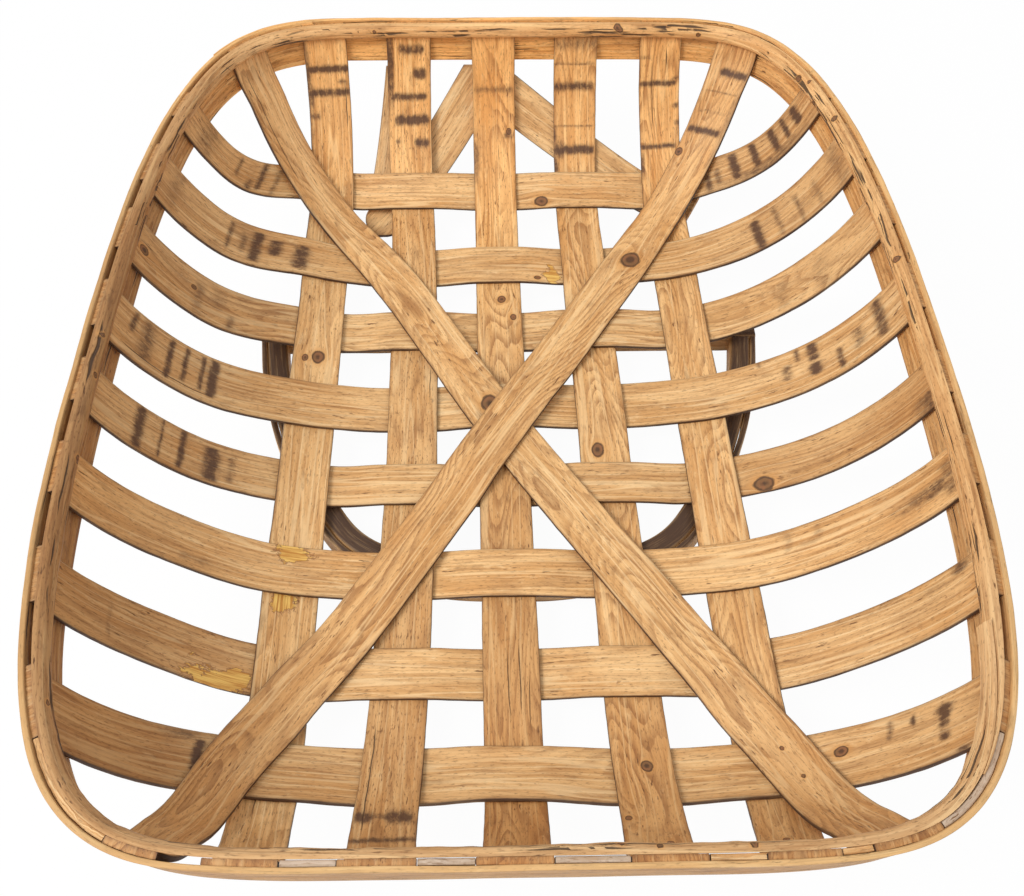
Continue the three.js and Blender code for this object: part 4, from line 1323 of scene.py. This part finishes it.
hoopShape = {
    "height": 12.0,
    "thickness": 5.5,
    "backSlope": 1.2,          # how far its back stands further in at the bottom
    "drop": 1.0,               # under the top of the band
    "jointAt": -47.0,
    "profilePoints": 13,
    "roundness": 0.75,         # power of the sine that gives the half round profile
    "lumps": 0.45,             # height of the lumps on its face
    "lumpRun": 0.8,            # share of its length, and millimetres round it, that their waves run over
    "lumpSpan": 22.0,
    "stray": 0.7,              # how far the face strays as a whole
    "strayWaves": (80, 9, 8),
    "seed": 33,
    "markSeed": 36,
    "markSpread": 5.0,
    "crackCount": 170,
    "knotCount": 20,
}

fillerShape = {
    "height": 11.0,
    "thickness": 3.4,
    "slack": 0.4,              # between a filler and the band
    "endGap": 0.5,             # between a filler and the splint end beside it
    "stationStep": 1.6,
    "rowStep": 2.0,
    "edgeRound": 0.35,
    "edgeStray": 0.7,
    "edgeDrop": 0.5,
    "edgeWaves": (40, 6, 6),
}

gripGap, contactGap = trayForm["gripGap"], trayForm["contactGap"]
bandThickness, rimHeight = trayForm["bandThickness"], trayForm["rimHeight"]
lapTip = rimShape["lapTip"]


# Where a plan direction meets the outline of the splint ends, the way straight out and the lean
def rimBase(angle):
    headX, headY = np.cos(angle), np.sin(angle)
    middle = np.zeros(angle.shape)
    reach = lastThatHolds(lambda way: isInside(headX * way, headY * way), middle, endsX0 + endsY0)
    x, y = headX * reach, headY * reach
    sidePower, endPower = trayForm["sideFullness"], endFullness(y)
    out = np.stack([
        np.sign(x) * sidePower * np.abs(x / endsX0) ** (sidePower - 1) / endsX0,
        np.sign(y) * endPower * np.abs(y / endsY0) ** (endPower - 1) / endsY0,
    ], -1)
    out /= np.linalg.norm(out, axis=-1, keepdims=True)
    lean = 1 / (sheetHeight(x, y) - sheetHeight(x - out[..., 0], y - out[..., 1]))
    return x, y, out, lean


# Point of the rim at each station, at a height over the floor and an inset from its outer face
def rimPoint(base, height, inset):
    x, y, out, lean = base
    aside = sheetInset - inset - (sheetTop - height) * lean[:, None]
    return np.stack([
        x[:, None] + out[:, :1] * aside,
        y[:, None] + out[:, 1:] * aside,
        np.broadcast_to(sheetZ + height, aside.shape),
    ], -1)


anglesRound = 2 * np.pi * np.arange(rimShape["outlinePoints"] + 1) / rimShape["outlinePoints"]
edgeRing = rimPoint(rimBase(anglesRound), np.array([[rimHeight]]), np.array([[0.0]]))[:, 0]
lengthsRound = np.concatenate([[0], np.cumsum(np.linalg.norm(np.diff(edgeRing, axis=0), axis=1))])
rimLength = lengthsRound[-1]


# Angle round the rim at a distance along its top edge
def angleAtLength(distance):
    turns = np.floor(distance / rimLength)
    return 2 * np.pi * turns + np.interp(distance - turns * rimLength, lengthsRound, anglesRound)


# Distance along the rim's top edge at an angle round it
def lengthAtAngle(angle):
    turns = np.floor(angle / (2 * np.pi))
    return turns * rimLength + np.interp(angle - 2 * np.pi * turns, anglesRound, lengthsRound)


# Shares of a closing joint: its tapered head, its tapered tail and the tail's step aside
def jointShares(distance):
    length, run = rimShape["lapLength"], rimShape["lapRun"]
    head = np.clip(distance / length, 0, 1)
    tail = np.clip((distance - rimLength) / length, 0, 1)
    aside = easeInOut((distance - rimLength + run) / run)
    return head[:, None], tail[:, None], aside[:, None]


# Lengths round the section of a swept strip, with the closing one
def lengthsAround(points):
    steps = np.linalg.norm(np.diff(points, axis=1, append=points[:, :1]), axis=2)
    return np.concatenate([np.zeros((len(points), 1)), np.cumsum(steps, 1)], 1)


# Strip round the rim from its height and inset at each corner; the first half of the corners is
# its outer face from the top down, the second half its inner face from the bottom up. Its knots
# show on one of these faces.
def rimPiece(node, base, height, inset, along, look, seed, knotsOutside=True):
    points = rimPoint(base, height, inset)
    corners = points.shape[1]
    around = lengthsAround(points)
    height = np.broadcast_to(height, points.shape[:2])
    alongGrid = np.broadcast_to(along[:, None], height.shape)
    side = height - np.mean(height)
    marks = woodMarks(alongGrid, side, look)
    isOuter = np.arange(corners) < corners // 2
    marks["knot"] = np.where(isOuter == knotsOutside, marks["knot"], bareWood["knot"])
    marks["border"] = np.exp(-(rimHeight - height) / look["borderRun"])
    run = along + meshRules["seedRun"] * seed
    shift = meshRules["seedAside"] * seed
    piece = sweptPiece(node + "_wood", points, run, around + shift, side + shift, marks)
    piece.data.materials.append(woodMaterial(node + "_finish", look))
    handOver(piece, node)


# Even distances round the rim and on over the joint
def closedRun():
    total = rimLength + rimShape["lapLength"]
    return np.linspace(0, total, int(total / rimShape["stationStep"]) + 1)


# Distance round the rim at which a strip whose joint is at an angle begins
def jointStart(shape):
    return lengthAtAngle(math.radians(shape["jointAt"])) - rimShape["lapLength"] / 2


# Two faces of a rim strip: the values for its outer face, then those for its inner face backwards
def roundStrip(outerFace, innerFace):
    return np.concatenate([outerFace, innerFace[:, ::-1]], 1)


# Places down a rim strip, and its thickness at each as a share of the full one: the half thickness
# of a strip 1 mm thick over the greatest of them
def rimSection(shape):
    places, half = stripSection(shape["height"], 1.0, shape["rowStep"], shape["edgeRound"])
    return places, half / half.max()


# Scattered cracks and small knots round a rim strip, within a spread to either side of its middle
def rimMarks(shape):
    rng = np.random.default_rng(shape["markSeed"])
    spread = (-shape["markSpread"], shape["markSpread"])
    crackCount, knotCount = shape["crackCount"], shape["knotCount"]
    starts = rng.uniform(0, rimLength, crackCount)
    crackEnds = starts + rng.uniform(*rimShape["crackRun"], crackCount)
    sides = rng.uniform(*spread, crackCount)
    sizes = rng.uniform(*rimShape["crackSize"], crackCount)
    knotPlaces = rng.uniform(0, rimLength, knotCount)
    knotSides = rng.uniform(*spread, knotCount)
    knotSizes = rng.uniform(*rimShape["knotSize"], knotCount)
    return {
        "cracks": list(zip(starts, crackEnds, sides, sizes)),
        "knots": list(zip(knotPlaces, knotSides, knotSizes)),
    }


# Pairs of distance and value for a strip that starts at a joint, from values at angles round the rim
def aroundRim(start, pairs):
    return [(lengthAtAngle(math.radians(angle)) - start, value) for angle, value in pairs]


# Outer band, its tail lapped outside its head
distance = closedRun()
start = jointStart(bandShape)
base = rimBase(angleAtLength(start + distance))
head, tail, aside = jointShares(distance)
places, bulge = rimSection(bandShape)
headOuter = mix(bandThickness - lapTip, 0, head)
tailInner = mix(bandThickness - lapTip, 0, tail) - contactGap
outer = mix(headOuter, -lapTip - contactGap, aside)
inner = mix(bandThickness, tailInner, aside)
centre, halfThick = (outer + inner) / 2, (inner - outer) / 2
ripple = bandShape["ripple"] * relief(distance[:, None], places[None], bandShape["seed"])
stray = bandShape["edgeStray"] * wander(distance, bandShape["seed"] + 1, *bandShape["edgeWaves"])[:, None]
edgeUp = (stray - bandShape["edgeDrop"]) * (0.5 - places / bandShape["height"])
downward = rimHeight - bandShape["height"] / 2 - places + edgeUp
bandLook = lookFor({"wood": "straight", "marks": {
    "border": paint(240, 200, 138), "borderRun": 1.3, "borderStrength": 0.4,
    "stainStrength": 0.6, "fibreStrength": 0.7, "bump": 1.0, "drabness": 0.5,
    "ageAndShadeTint": (0.5, 0.4, 0.3, 1.0),
    # Browner on the left, which faces away from the key lamp, and yellower and brighter on the far and
    # right sides: real colour with painted shade and painted light laid in
    "ageAndShade": aroundRim(start, [
        (125, 0.1), (165, 1.0), (215, 1.0), (250, 0.5), (330, 0.5), (360, 0.42), (400, 0.3), (440, 0.0),
    ]),
    "goldAndLight": aroundRim(start, [
        (125, 0.8), (150, 0.1), (330, 0.1), (360, 0.5), (410, 0.6), (450, 1.0), (480, 0.9),
    ]),
    **rimMarks(bandShape),
}})
rimPiece("rim_band", base, roundStrip(downward, downward),
         roundStrip(centre - halfThick * bulge + ripple, centre + halfThick * bulge + ripple),
         distance, bandLook, bandShape["seed"])

# Inner hoop, half round, its tail tapered inside its head
start = jointStart(hoopShape)
base = rimBase(angleAtLength(start + distance))
full = hoopShape["thickness"]
hoopThick = mix(mix(lapTip, full, head), mix(full, lapTip, tail), aside)
shiftIn = aside * (mix(lapTip, full, tail) + contactGap)
turn = np.linspace(0, np.pi, hoopShape["profilePoints"])
down = (1 - np.cos(turn)) / 2
inward = np.sin(turn) ** hoopShape["roundness"]
back = sheetInset + thickness / 2 + gripGap
lumpRun, lumpSide = hoopShape["lumpRun"] * distance[:, None], hoopShape["lumpSpan"] * down[None]
stray = hoopShape["stray"] * wander(distance, hoopShape["seed"] + 1, *hoopShape["strayWaves"])[:, None]
lump = hoopShape["lumps"] * relief(lumpRun, lumpSide, hoopShape["seed"]) + stray
hoopDown = np.concatenate([down[::-1][1:-1], down[1:-1]])
hoopIn = np.concatenate([np.zeros(len(down) - 2), inward[1:-1]])
lumpAll = np.concatenate([0 * lump[:, 1:-1], lump[:, 1:-1]], 1)
height = rimHeight - hoopShape["drop"] - hoopShape["height"] * hoopDown + 0 * distance[:, None]
inset = back + hoopShape["backSlope"] * hoopDown + shiftIn + (hoopThick + lumpAll) * hoopIn
hoopLook = lookFor({"wood": "bark", "marks": {
    "borderStrength": 0.0,
    "ageAndShadeTint": (0.5, 0.4, 0.3, 1.0),
    # Browner on the left, the hoop's shaded side, and yellower and brighter on the right and far sides:
    # real colour with painted shade and painted light laid in
    "ageAndShade": aroundRim(start, [
        (-50, 0.3), (0, 0.38), (60, 0.15), (110, 0.15), (140, 0.5), (165, 1.0), (215, 1.0), (250, 0.4),
        (290, 0.3),
    ]),
    "goldAndLight": aroundRim(start, [(-50, 0.1), (0, 0.5), (90, 0.45), (150, 0.2), (180, 0.0), (270, 0.1)]),
    **rimMarks(hoopShape),
}})
rimPiece("rim_hoop", base, height, inset, distance, hoopLook, hoopShape["seed"],
         knotsOutside=False)


# Plan angles of one end of a splint at the rim: end 0 is the one at the start of its reach, 1 the other
def endAngles(placeAt, reach, width, end):
    offsets = np.array([-width / 2, width / 2])
    x, y = placeAt(rowEnds(placeAt, reach, offsets)[end], offsets)
    return np.arctan2(y, x) % (2 * np.pi)


# Near end of a long splint
def nearEnd(number):
    splint = longSplints[number]
    return endAngles(longPlace(splint), longReach, splint["width"], 0)


# Left or right end of the nearest cross splint
def lastCrossEnd(end):
    splint = crossSplints[-1]
    return endAngles(crossPlace(splint), crossReach, splint["width"], end)


# Near end of a diagonal
def diagonalEnd(points):
    return endAngles(diagonalPlace(points), diagonalReach, diagonalSplints["width"], 1)


# Loose strips packed between the band and the hoop: node, the splint ends before and after it, slot,
# wood and seed
fillers = [
    ("rim_filler_near_1", nearEnd(0), nearEnd(1), "rim_wood", "grey", 41),
    ("rim_filler_near_2", nearEnd(1), nearEnd(2), "rim_wood", "grey", 42),
    ("rim_filler_near_3", nearEnd(2), nearEnd(3), "rim_wood", "grey", 43),
    ("rim_filler_near_4", nearEnd(3), nearEnd(4), "splint_honey", "foot", 44),
    ("rim_filler_near_5", nearEnd(4), diagonalEnd(lowerPoints), "splint_honey", "foot", 45),
    ("rim_filler_right_corner", diagonalEnd(lowerPoints), lastCrossEnd(1), "foot_wood", "grey", 46),
    ("rim_filler_left_corner", lastCrossEnd(0), diagonalEnd(upperPoints), "rim_wood", "honey", 47),
]
for node, before, after, slotName, wood, seed in fillers:
    start = lengthAtAngle(before.max()) + fillerShape["endGap"]
    stop = lengthAtAngle(after.min()) - fillerShape["endGap"]
    distance = np.linspace(start, stop, max(int((stop - start) / fillerShape["stationStep"]), 3))
    base = rimBase(angleAtLength(distance))
    places, bulge = rimSection(fillerShape)
    centre = bandThickness + fillerShape["slack"] + fillerShape["thickness"] / 2
    bulge = bulge * fillerShape["thickness"] / 2 + 0 * distance[:, None]
    stray = fillerShape["edgeStray"] * wander(distance, seed, *fillerShape["edgeWaves"])[:, None]
    downward = rimHeight - trayForm["splintDrop"] - fillerShape["height"] / 2 - places
    downward = downward + (stray - fillerShape["edgeDrop"]) * (0.5 - places / fillerShape["height"])
    fillerLook = lookFor({"wood": wood, "marks": {"borderStrength": 0.0}})
    rimPiece(node, base, roundStrip(downward, downward),
             roundStrip(centre - bulge, centre + bulge), distance - start, fillerLook, seed)

print("rim bound")


# Splints outside the far wall

wallSplints = {
    "room": 0.9,               # between them and the weave
    "roundEndShare": 0.35,     # width left at the very end of a rounded foot
    "stationStep": 2.6,
    "rowStep": 2.2,
    "edgeRound": 0.7,
    "firstSeed": 51,
}

# Tops and feet are shares of the splint ends' width and of the curved length of floor and wall. A
# level foot is cut along the weave, and layer counts how many splints lie between it and the weave.
backingSplint = {
    "node": "far_backing_splint", "width": 39.0, "top": (-0.3103, 0.9237), "foot": (-0.3716, 0.694),
    "isLevel": True, "isRound": False, "layer": 0, "wood": "honey",
}
leftBrace = {
    "node": "far_brace_left", "width": 37.0, "top": (-0.052, 0.9237), "foot": (-0.4296, 0.5983),
    "isLevel": True, "isRound": True, "layer": 1, "wood": "honey",
}
rightBrace = {
    "node": "far_brace_right", "width": 34.0, "top": (-0.0102, 0.8783), "foot": (0.5864, 0.6222),
    "isLevel": False, "isRound": False, "layer": 0, "wood": "honey",
}

# Each is laid out flat from its top to its foot, on the wall unrolled, and then bent round the wall
for number, strip in enumerate([backingSplint, leftBrace, rightBrace]):
    top = np.array(strip["top"]) * (endsX0, endArc)
    run = np.array(strip["foot"]) * (endsX0, endArc) - top
    length = np.hypot(*run)
    way = run / length
    lift = -(weaveLift + thickness + wallSplints["room"] + strip["layer"] * layer)
    places, half = stripSection(strip["width"], thickness, wallSplints["rowStep"], wallSplints["edgeRound"])
    share = np.linspace(0, 1, int(length / wallSplints["stationStep"]) + 1)[:, None]
    fromFoot = np.minimum((1 - share) * length / (strip["width"] / 2), 1)
    footRound = np.maximum(np.sqrt(1 - (1 - fromFoot) ** 2), wallSplints["roundEndShare"])
    across = places * (footRound if strip["isRound"] else np.ones_like(share))
    level = across * way[0] / way[1] * (1 - share) if strip["isLevel"] else 0 * across
    x = top[0] + run[0] * share - across * way[1] - level * way[0]
    along = top[1] + run[1] * share + across * way[0] - level * way[1]
    y = wallPlace(along, flatY, endsY(x, np.ones_like(x)), endLean)
    middlePoint, normal = sheetPoint(x, y)
    middlePoint = middlePoint + normal * lift
    node = strip["node"]
    piece = stripPiece(node + "_wood", middlePoint, normal, across, np.broadcast_to(half, across.shape),
                       runAlong(middlePoint), lookFor(strip), wallSplints["firstSeed"] + number)
    handOver(piece, node)

print("far wall splints placed")


# Foot under the floor

footShape = {
    "height": 20.0,
    "bandThickness": 5.0,
    "bowWidth": 17.0,
    "barWidth": 22.0,
    "barShift": 6.0,           # of the bar from the middle of the third cross splint
    "halfWidth": 214.0,
    "reach": 247.0,
    "side": [                  # the bow's line as shares of half its width and of its reach
        (1, 0), (0.9626, -0.1992), (0.8832, -0.4398),
        (0.7336, -0.7095), (0.5654, -0.8838), (0.2897, -0.9793),
    ],
    "tip": (0, -1),
    "stations": 320,
    "barStations": 150,
    "samples": 4001,           # points along the bow's line, from which its even steps are taken
    "rowStep": 2.2,
    "edgeRound": 2.2,
    "edgeShare": 0.3,          # of a strip's width that its rounded edge takes at most
    "lumps": 0.25,
    "barLumps": 0.3,
    "borderRun": 1.5,
    "firstSeed": 61,
}

barY = float(crossY(crossSplints[2], np.array(0.0))) + footShape["barShift"]
bowEndY = barY - footShape["barWidth"] / 2 - contactGap
rightSide = np.array(footShape["side"], float)
footPoints = np.concatenate([rightSide, [footShape["tip"]], rightSide[::-1] * (-1, 1)])
footPoints = footPoints * (footShape["halfWidth"], footShape["reach"]) + (0, bowEndY)
curveShares = np.linspace(0, 1, footShape["samples"])
curveLine = curvePoint(footPoints, curveShares)
curveLengths = np.concatenate([[0], np.cumsum(np.linalg.norm(np.diff(curveLine, axis=0), axis=1))])


# Strip of the foot, swept through its sections, darker along its upper and lower edges
def footPiece(node, points, along, look, seed):
    around = lengthsAround(points)
    marks = woodMarks(np.broadcast_to(along[:, None], points.shape[:2]), around[:, :-1], look)
    height, fade = points[..., 2], footShape["borderRun"]
    marks["border"] = np.exp(-height / fade) + np.exp(-(footShape["height"] - height) / fade)
    run = along + meshRules["seedRun"] * seed
    shift = meshRules["seedAside"] * seed
    piece = sweptPiece(node + "_wood", points, run, around + shift, around[:, :-1], marks)
    piece.data.materials.append(woodMaterial(node + "_finish", look))
    handOver(piece, node)


# Arched strip between two distances in from the bow's outer line, its ends cut square to the tray
def footArch(node, outer, inner, look, seed):
    along = np.linspace(0, curveLengths[-1], footShape["stations"] + 1)
    share = np.interp(along, curveLengths, curveShares)
    line, way = curvePoint(footPoints, share), curveHeading(footPoints, share)
    inward = np.stack([way[:, 1], -way[:, 0]], -1)
    inward[0], inward[-1] = (-1, 0), (1, 0)
    edge = min(footShape["edgeRound"], (inner - outer) * footShape["edgeShare"])
    places, half = stripSection(footShape["height"], 2 * edge, footShape["rowStep"], edge)
    draw = edge - half
    bump = footShape["lumps"] * relief(along[:, None], places[None], seed)
    inset = roundStrip(outer + draw + np.abs(bump), inner - draw - np.abs(bump))
    height = footShape["height"] / 2 - np.concatenate([places, places[::-1]])
    points = np.stack([
        line[:, :1] + inward[:, :1] * inset,
        line[:, 1:] + inward[:, 1:] * inset,
        np.broadcast_to(height, inset.shape),
    ], -1)
    footPiece(node, points, along, look, seed)


# Straight bar across the ends of the bow
def footBar(node, look, seed):
    along = np.linspace(-footShape["halfWidth"], footShape["halfWidth"], footShape["barStations"])
    edge = footShape["edgeRound"]
    places, half = stripSection(footShape["height"], 2 * edge, footShape["rowStep"], edge)
    bump = np.abs(footShape["barLumps"] * relief(along[:, None], places[None], seed))
    halfBar = footShape["barWidth"] / 2 - (edge - half) - bump
    side = roundStrip(-halfBar, halfBar)
    height = footShape["height"] / 2 - np.concatenate([places, places[::-1]])
    points = np.stack([
        np.broadcast_to(along[:, None], side.shape),
        barY + side,
        np.broadcast_to(height, side.shape),
    ], -1)
    footPiece(node, points, along, look, seed)


bowInset = footShape["bandThickness"] + contactGap
footLook = woodLooks["foot"]
footSeed = footShape["firstSeed"]
footArch("foot_band", 0.0, footShape["bandThickness"], footLook, footSeed)
footArch("foot_bow", bowInset, bowInset + footShape["bowWidth"], footLook, footSeed + 1)
footBar("foot_bar", footLook, footSeed + 2)

print("foot fixed")


# Floor, light and camera

studio = {
    "floorSize": 12.0,         # metres, as are the places and sizes of the lamps
    "floorColour": (0.86, 0.86, 0.86, 1),
    "floorRoughness": 0.9,
    "keyPlace": (-1.8, -0.95, 2.25),
    "keySize": 1.3,
    "keyPower": 60.0,
    "fillPlace": (1.8, -1.4, 2.2),
    "fillSize": 2.2,
    "fillPower": 9.0,
    "skyStrength": 0.66,
    "floorGlow": 0.96,         # share of the floor's own light, which fades the shadow on it
    "lampAim": (0, 0, 0.08),
}


# 1 where the camera sees a surface, straight or in a gloss, and 0 where only light from it arrives
def seenDirectly(tree):
    rays = addNode(tree, "ShaderNodeLightPath").outputs
    return calculate(tree, "MAXIMUM", rays["Is Camera Ray"], rays["Is Glossy Ray"])


# Set an object's place and its own three axes, away being the one that points back from its view
def placeObject(placed, place, right, up, away):
    turn = np.eye(4)
    turn[:3, 0], turn[:3, 1], turn[:3, 2], turn[:3, 3] = right, up, away, place
    placed.matrix_world = Matrix(turn.tolist())


floorMesh = bpy.data.meshes.new("studioFloor")
edge = studio["floorSize"] / 2
floorCorners = [(-edge, -edge, 0), (edge, -edge, 0), (edge, edge, 0), (-edge, edge, 0)]
floorMesh.from_pydata(floorCorners, [], [(0, 1, 2, 3)])
floor = bpy.data.objects.new("studioFloor", floorMesh)
bpy.context.scene.collection.objects.link(floor)

floorMaterial = bpy.data.materials.new("paleFloor")
floorMaterial.use_nodes = True
tree = floorMaterial.node_tree
shader = tree.nodes["Principled BSDF"]
shader.inputs["Base Color"].default_value = studio["floorColour"]
shader.inputs["Roughness"].default_value = studio["floorRoughness"]
glow = addNode(tree, "ShaderNodeEmission", {"Color": (1, 1, 1, 1), "Strength": 1.0})
share = calculate(tree, "MULTIPLY", seenDirectly(tree), studio["floorGlow"])
blend = addNode(tree, "ShaderNodeMixShader", {
    0: share, 1: shader.outputs["BSDF"], 2: glow.outputs["Emission"],
})
tree.links.new(blend.outputs["Shader"], tree.nodes["Material Output"].inputs["Surface"])
floor.data.materials.append(floorMaterial)

world = bpy.data.worlds.new("studioSky")
bpy.context.scene.world = world
world.use_nodes = True
tree = world.node_tree
sky = tree.nodes["Background"]
sky.inputs["Color"].default_value = (1, 1, 1, 1)
seenSky = calculate(tree, "MULTIPLY", seenDirectly(tree), 1 - studio["skyStrength"])
strength = calculate(tree, "ADD", studio["skyStrength"], seenSky)
tree.links.new(strength, sky.inputs["Strength"])


# Square lamp that looks at the middle of the tray
def addLamp(name, place, size, power):
    lamp = bpy.data.lights.new(name, "AREA")
    lamp.size = size
    lamp.energy = power
    holder = bpy.data.objects.new(name, lamp)
    bpy.context.scene.collection.objects.link(holder)
    away = np.array(place) - studio["lampAim"]
    away /= np.linalg.norm(away)
    right = np.cross((0, 0, 1), away)
    right /= np.linalg.norm(right)
    placeObject(holder, place, right, np.cross(away, right), away)


addLamp("keyLamp", studio["keyPlace"], studio["keySize"], studio["keyPower"])
addLamp("fillLamp", studio["fillPlace"], studio["fillSize"], studio["fillPower"])

viewer = {
    "place": (-0.013973, -0.527898, 0.724381),
    "downward": 53.5,          # degrees under the horizon
    "turn": 1.561,             # degrees to the right of the tray's length
    "roll": 0.707,
    "lens": 38.454,
    "sensorWidth": 36.0,
    "clipStart": 0.01,
}

pitch, turn, roll = (math.radians(viewer[key]) for key in ("downward", "turn", "roll"))
forward = np.array([
    math.sin(turn) * math.cos(pitch),
    math.cos(turn) * math.cos(pitch),
    -math.sin(pitch),
])
level = np.array([math.cos(turn), -math.sin(turn), 0])
upward = np.cross(level, forward)
right = level * math.cos(roll) + upward * math.sin(roll)
up = -level * math.sin(roll) + upward * math.cos(roll)
cameraData = bpy.data.cameras.new("photoCamera")
cameraData.lens = viewer["lens"]
cameraData.sensor_width = viewer["sensorWidth"]
cameraData.sensor_fit = "HORIZONTAL"
cameraData.clip_start = viewer["clipStart"]
camera = bpy.data.objects.new("photoCamera", cameraData)
bpy.context.scene.collection.objects.link(camera)
placeObject(camera, viewer["place"], right, up, -forward)
bpy.context.scene.camera = camera
bpy.context.scene.view_settings.view_transform = "Standard"

print("light and camera set")
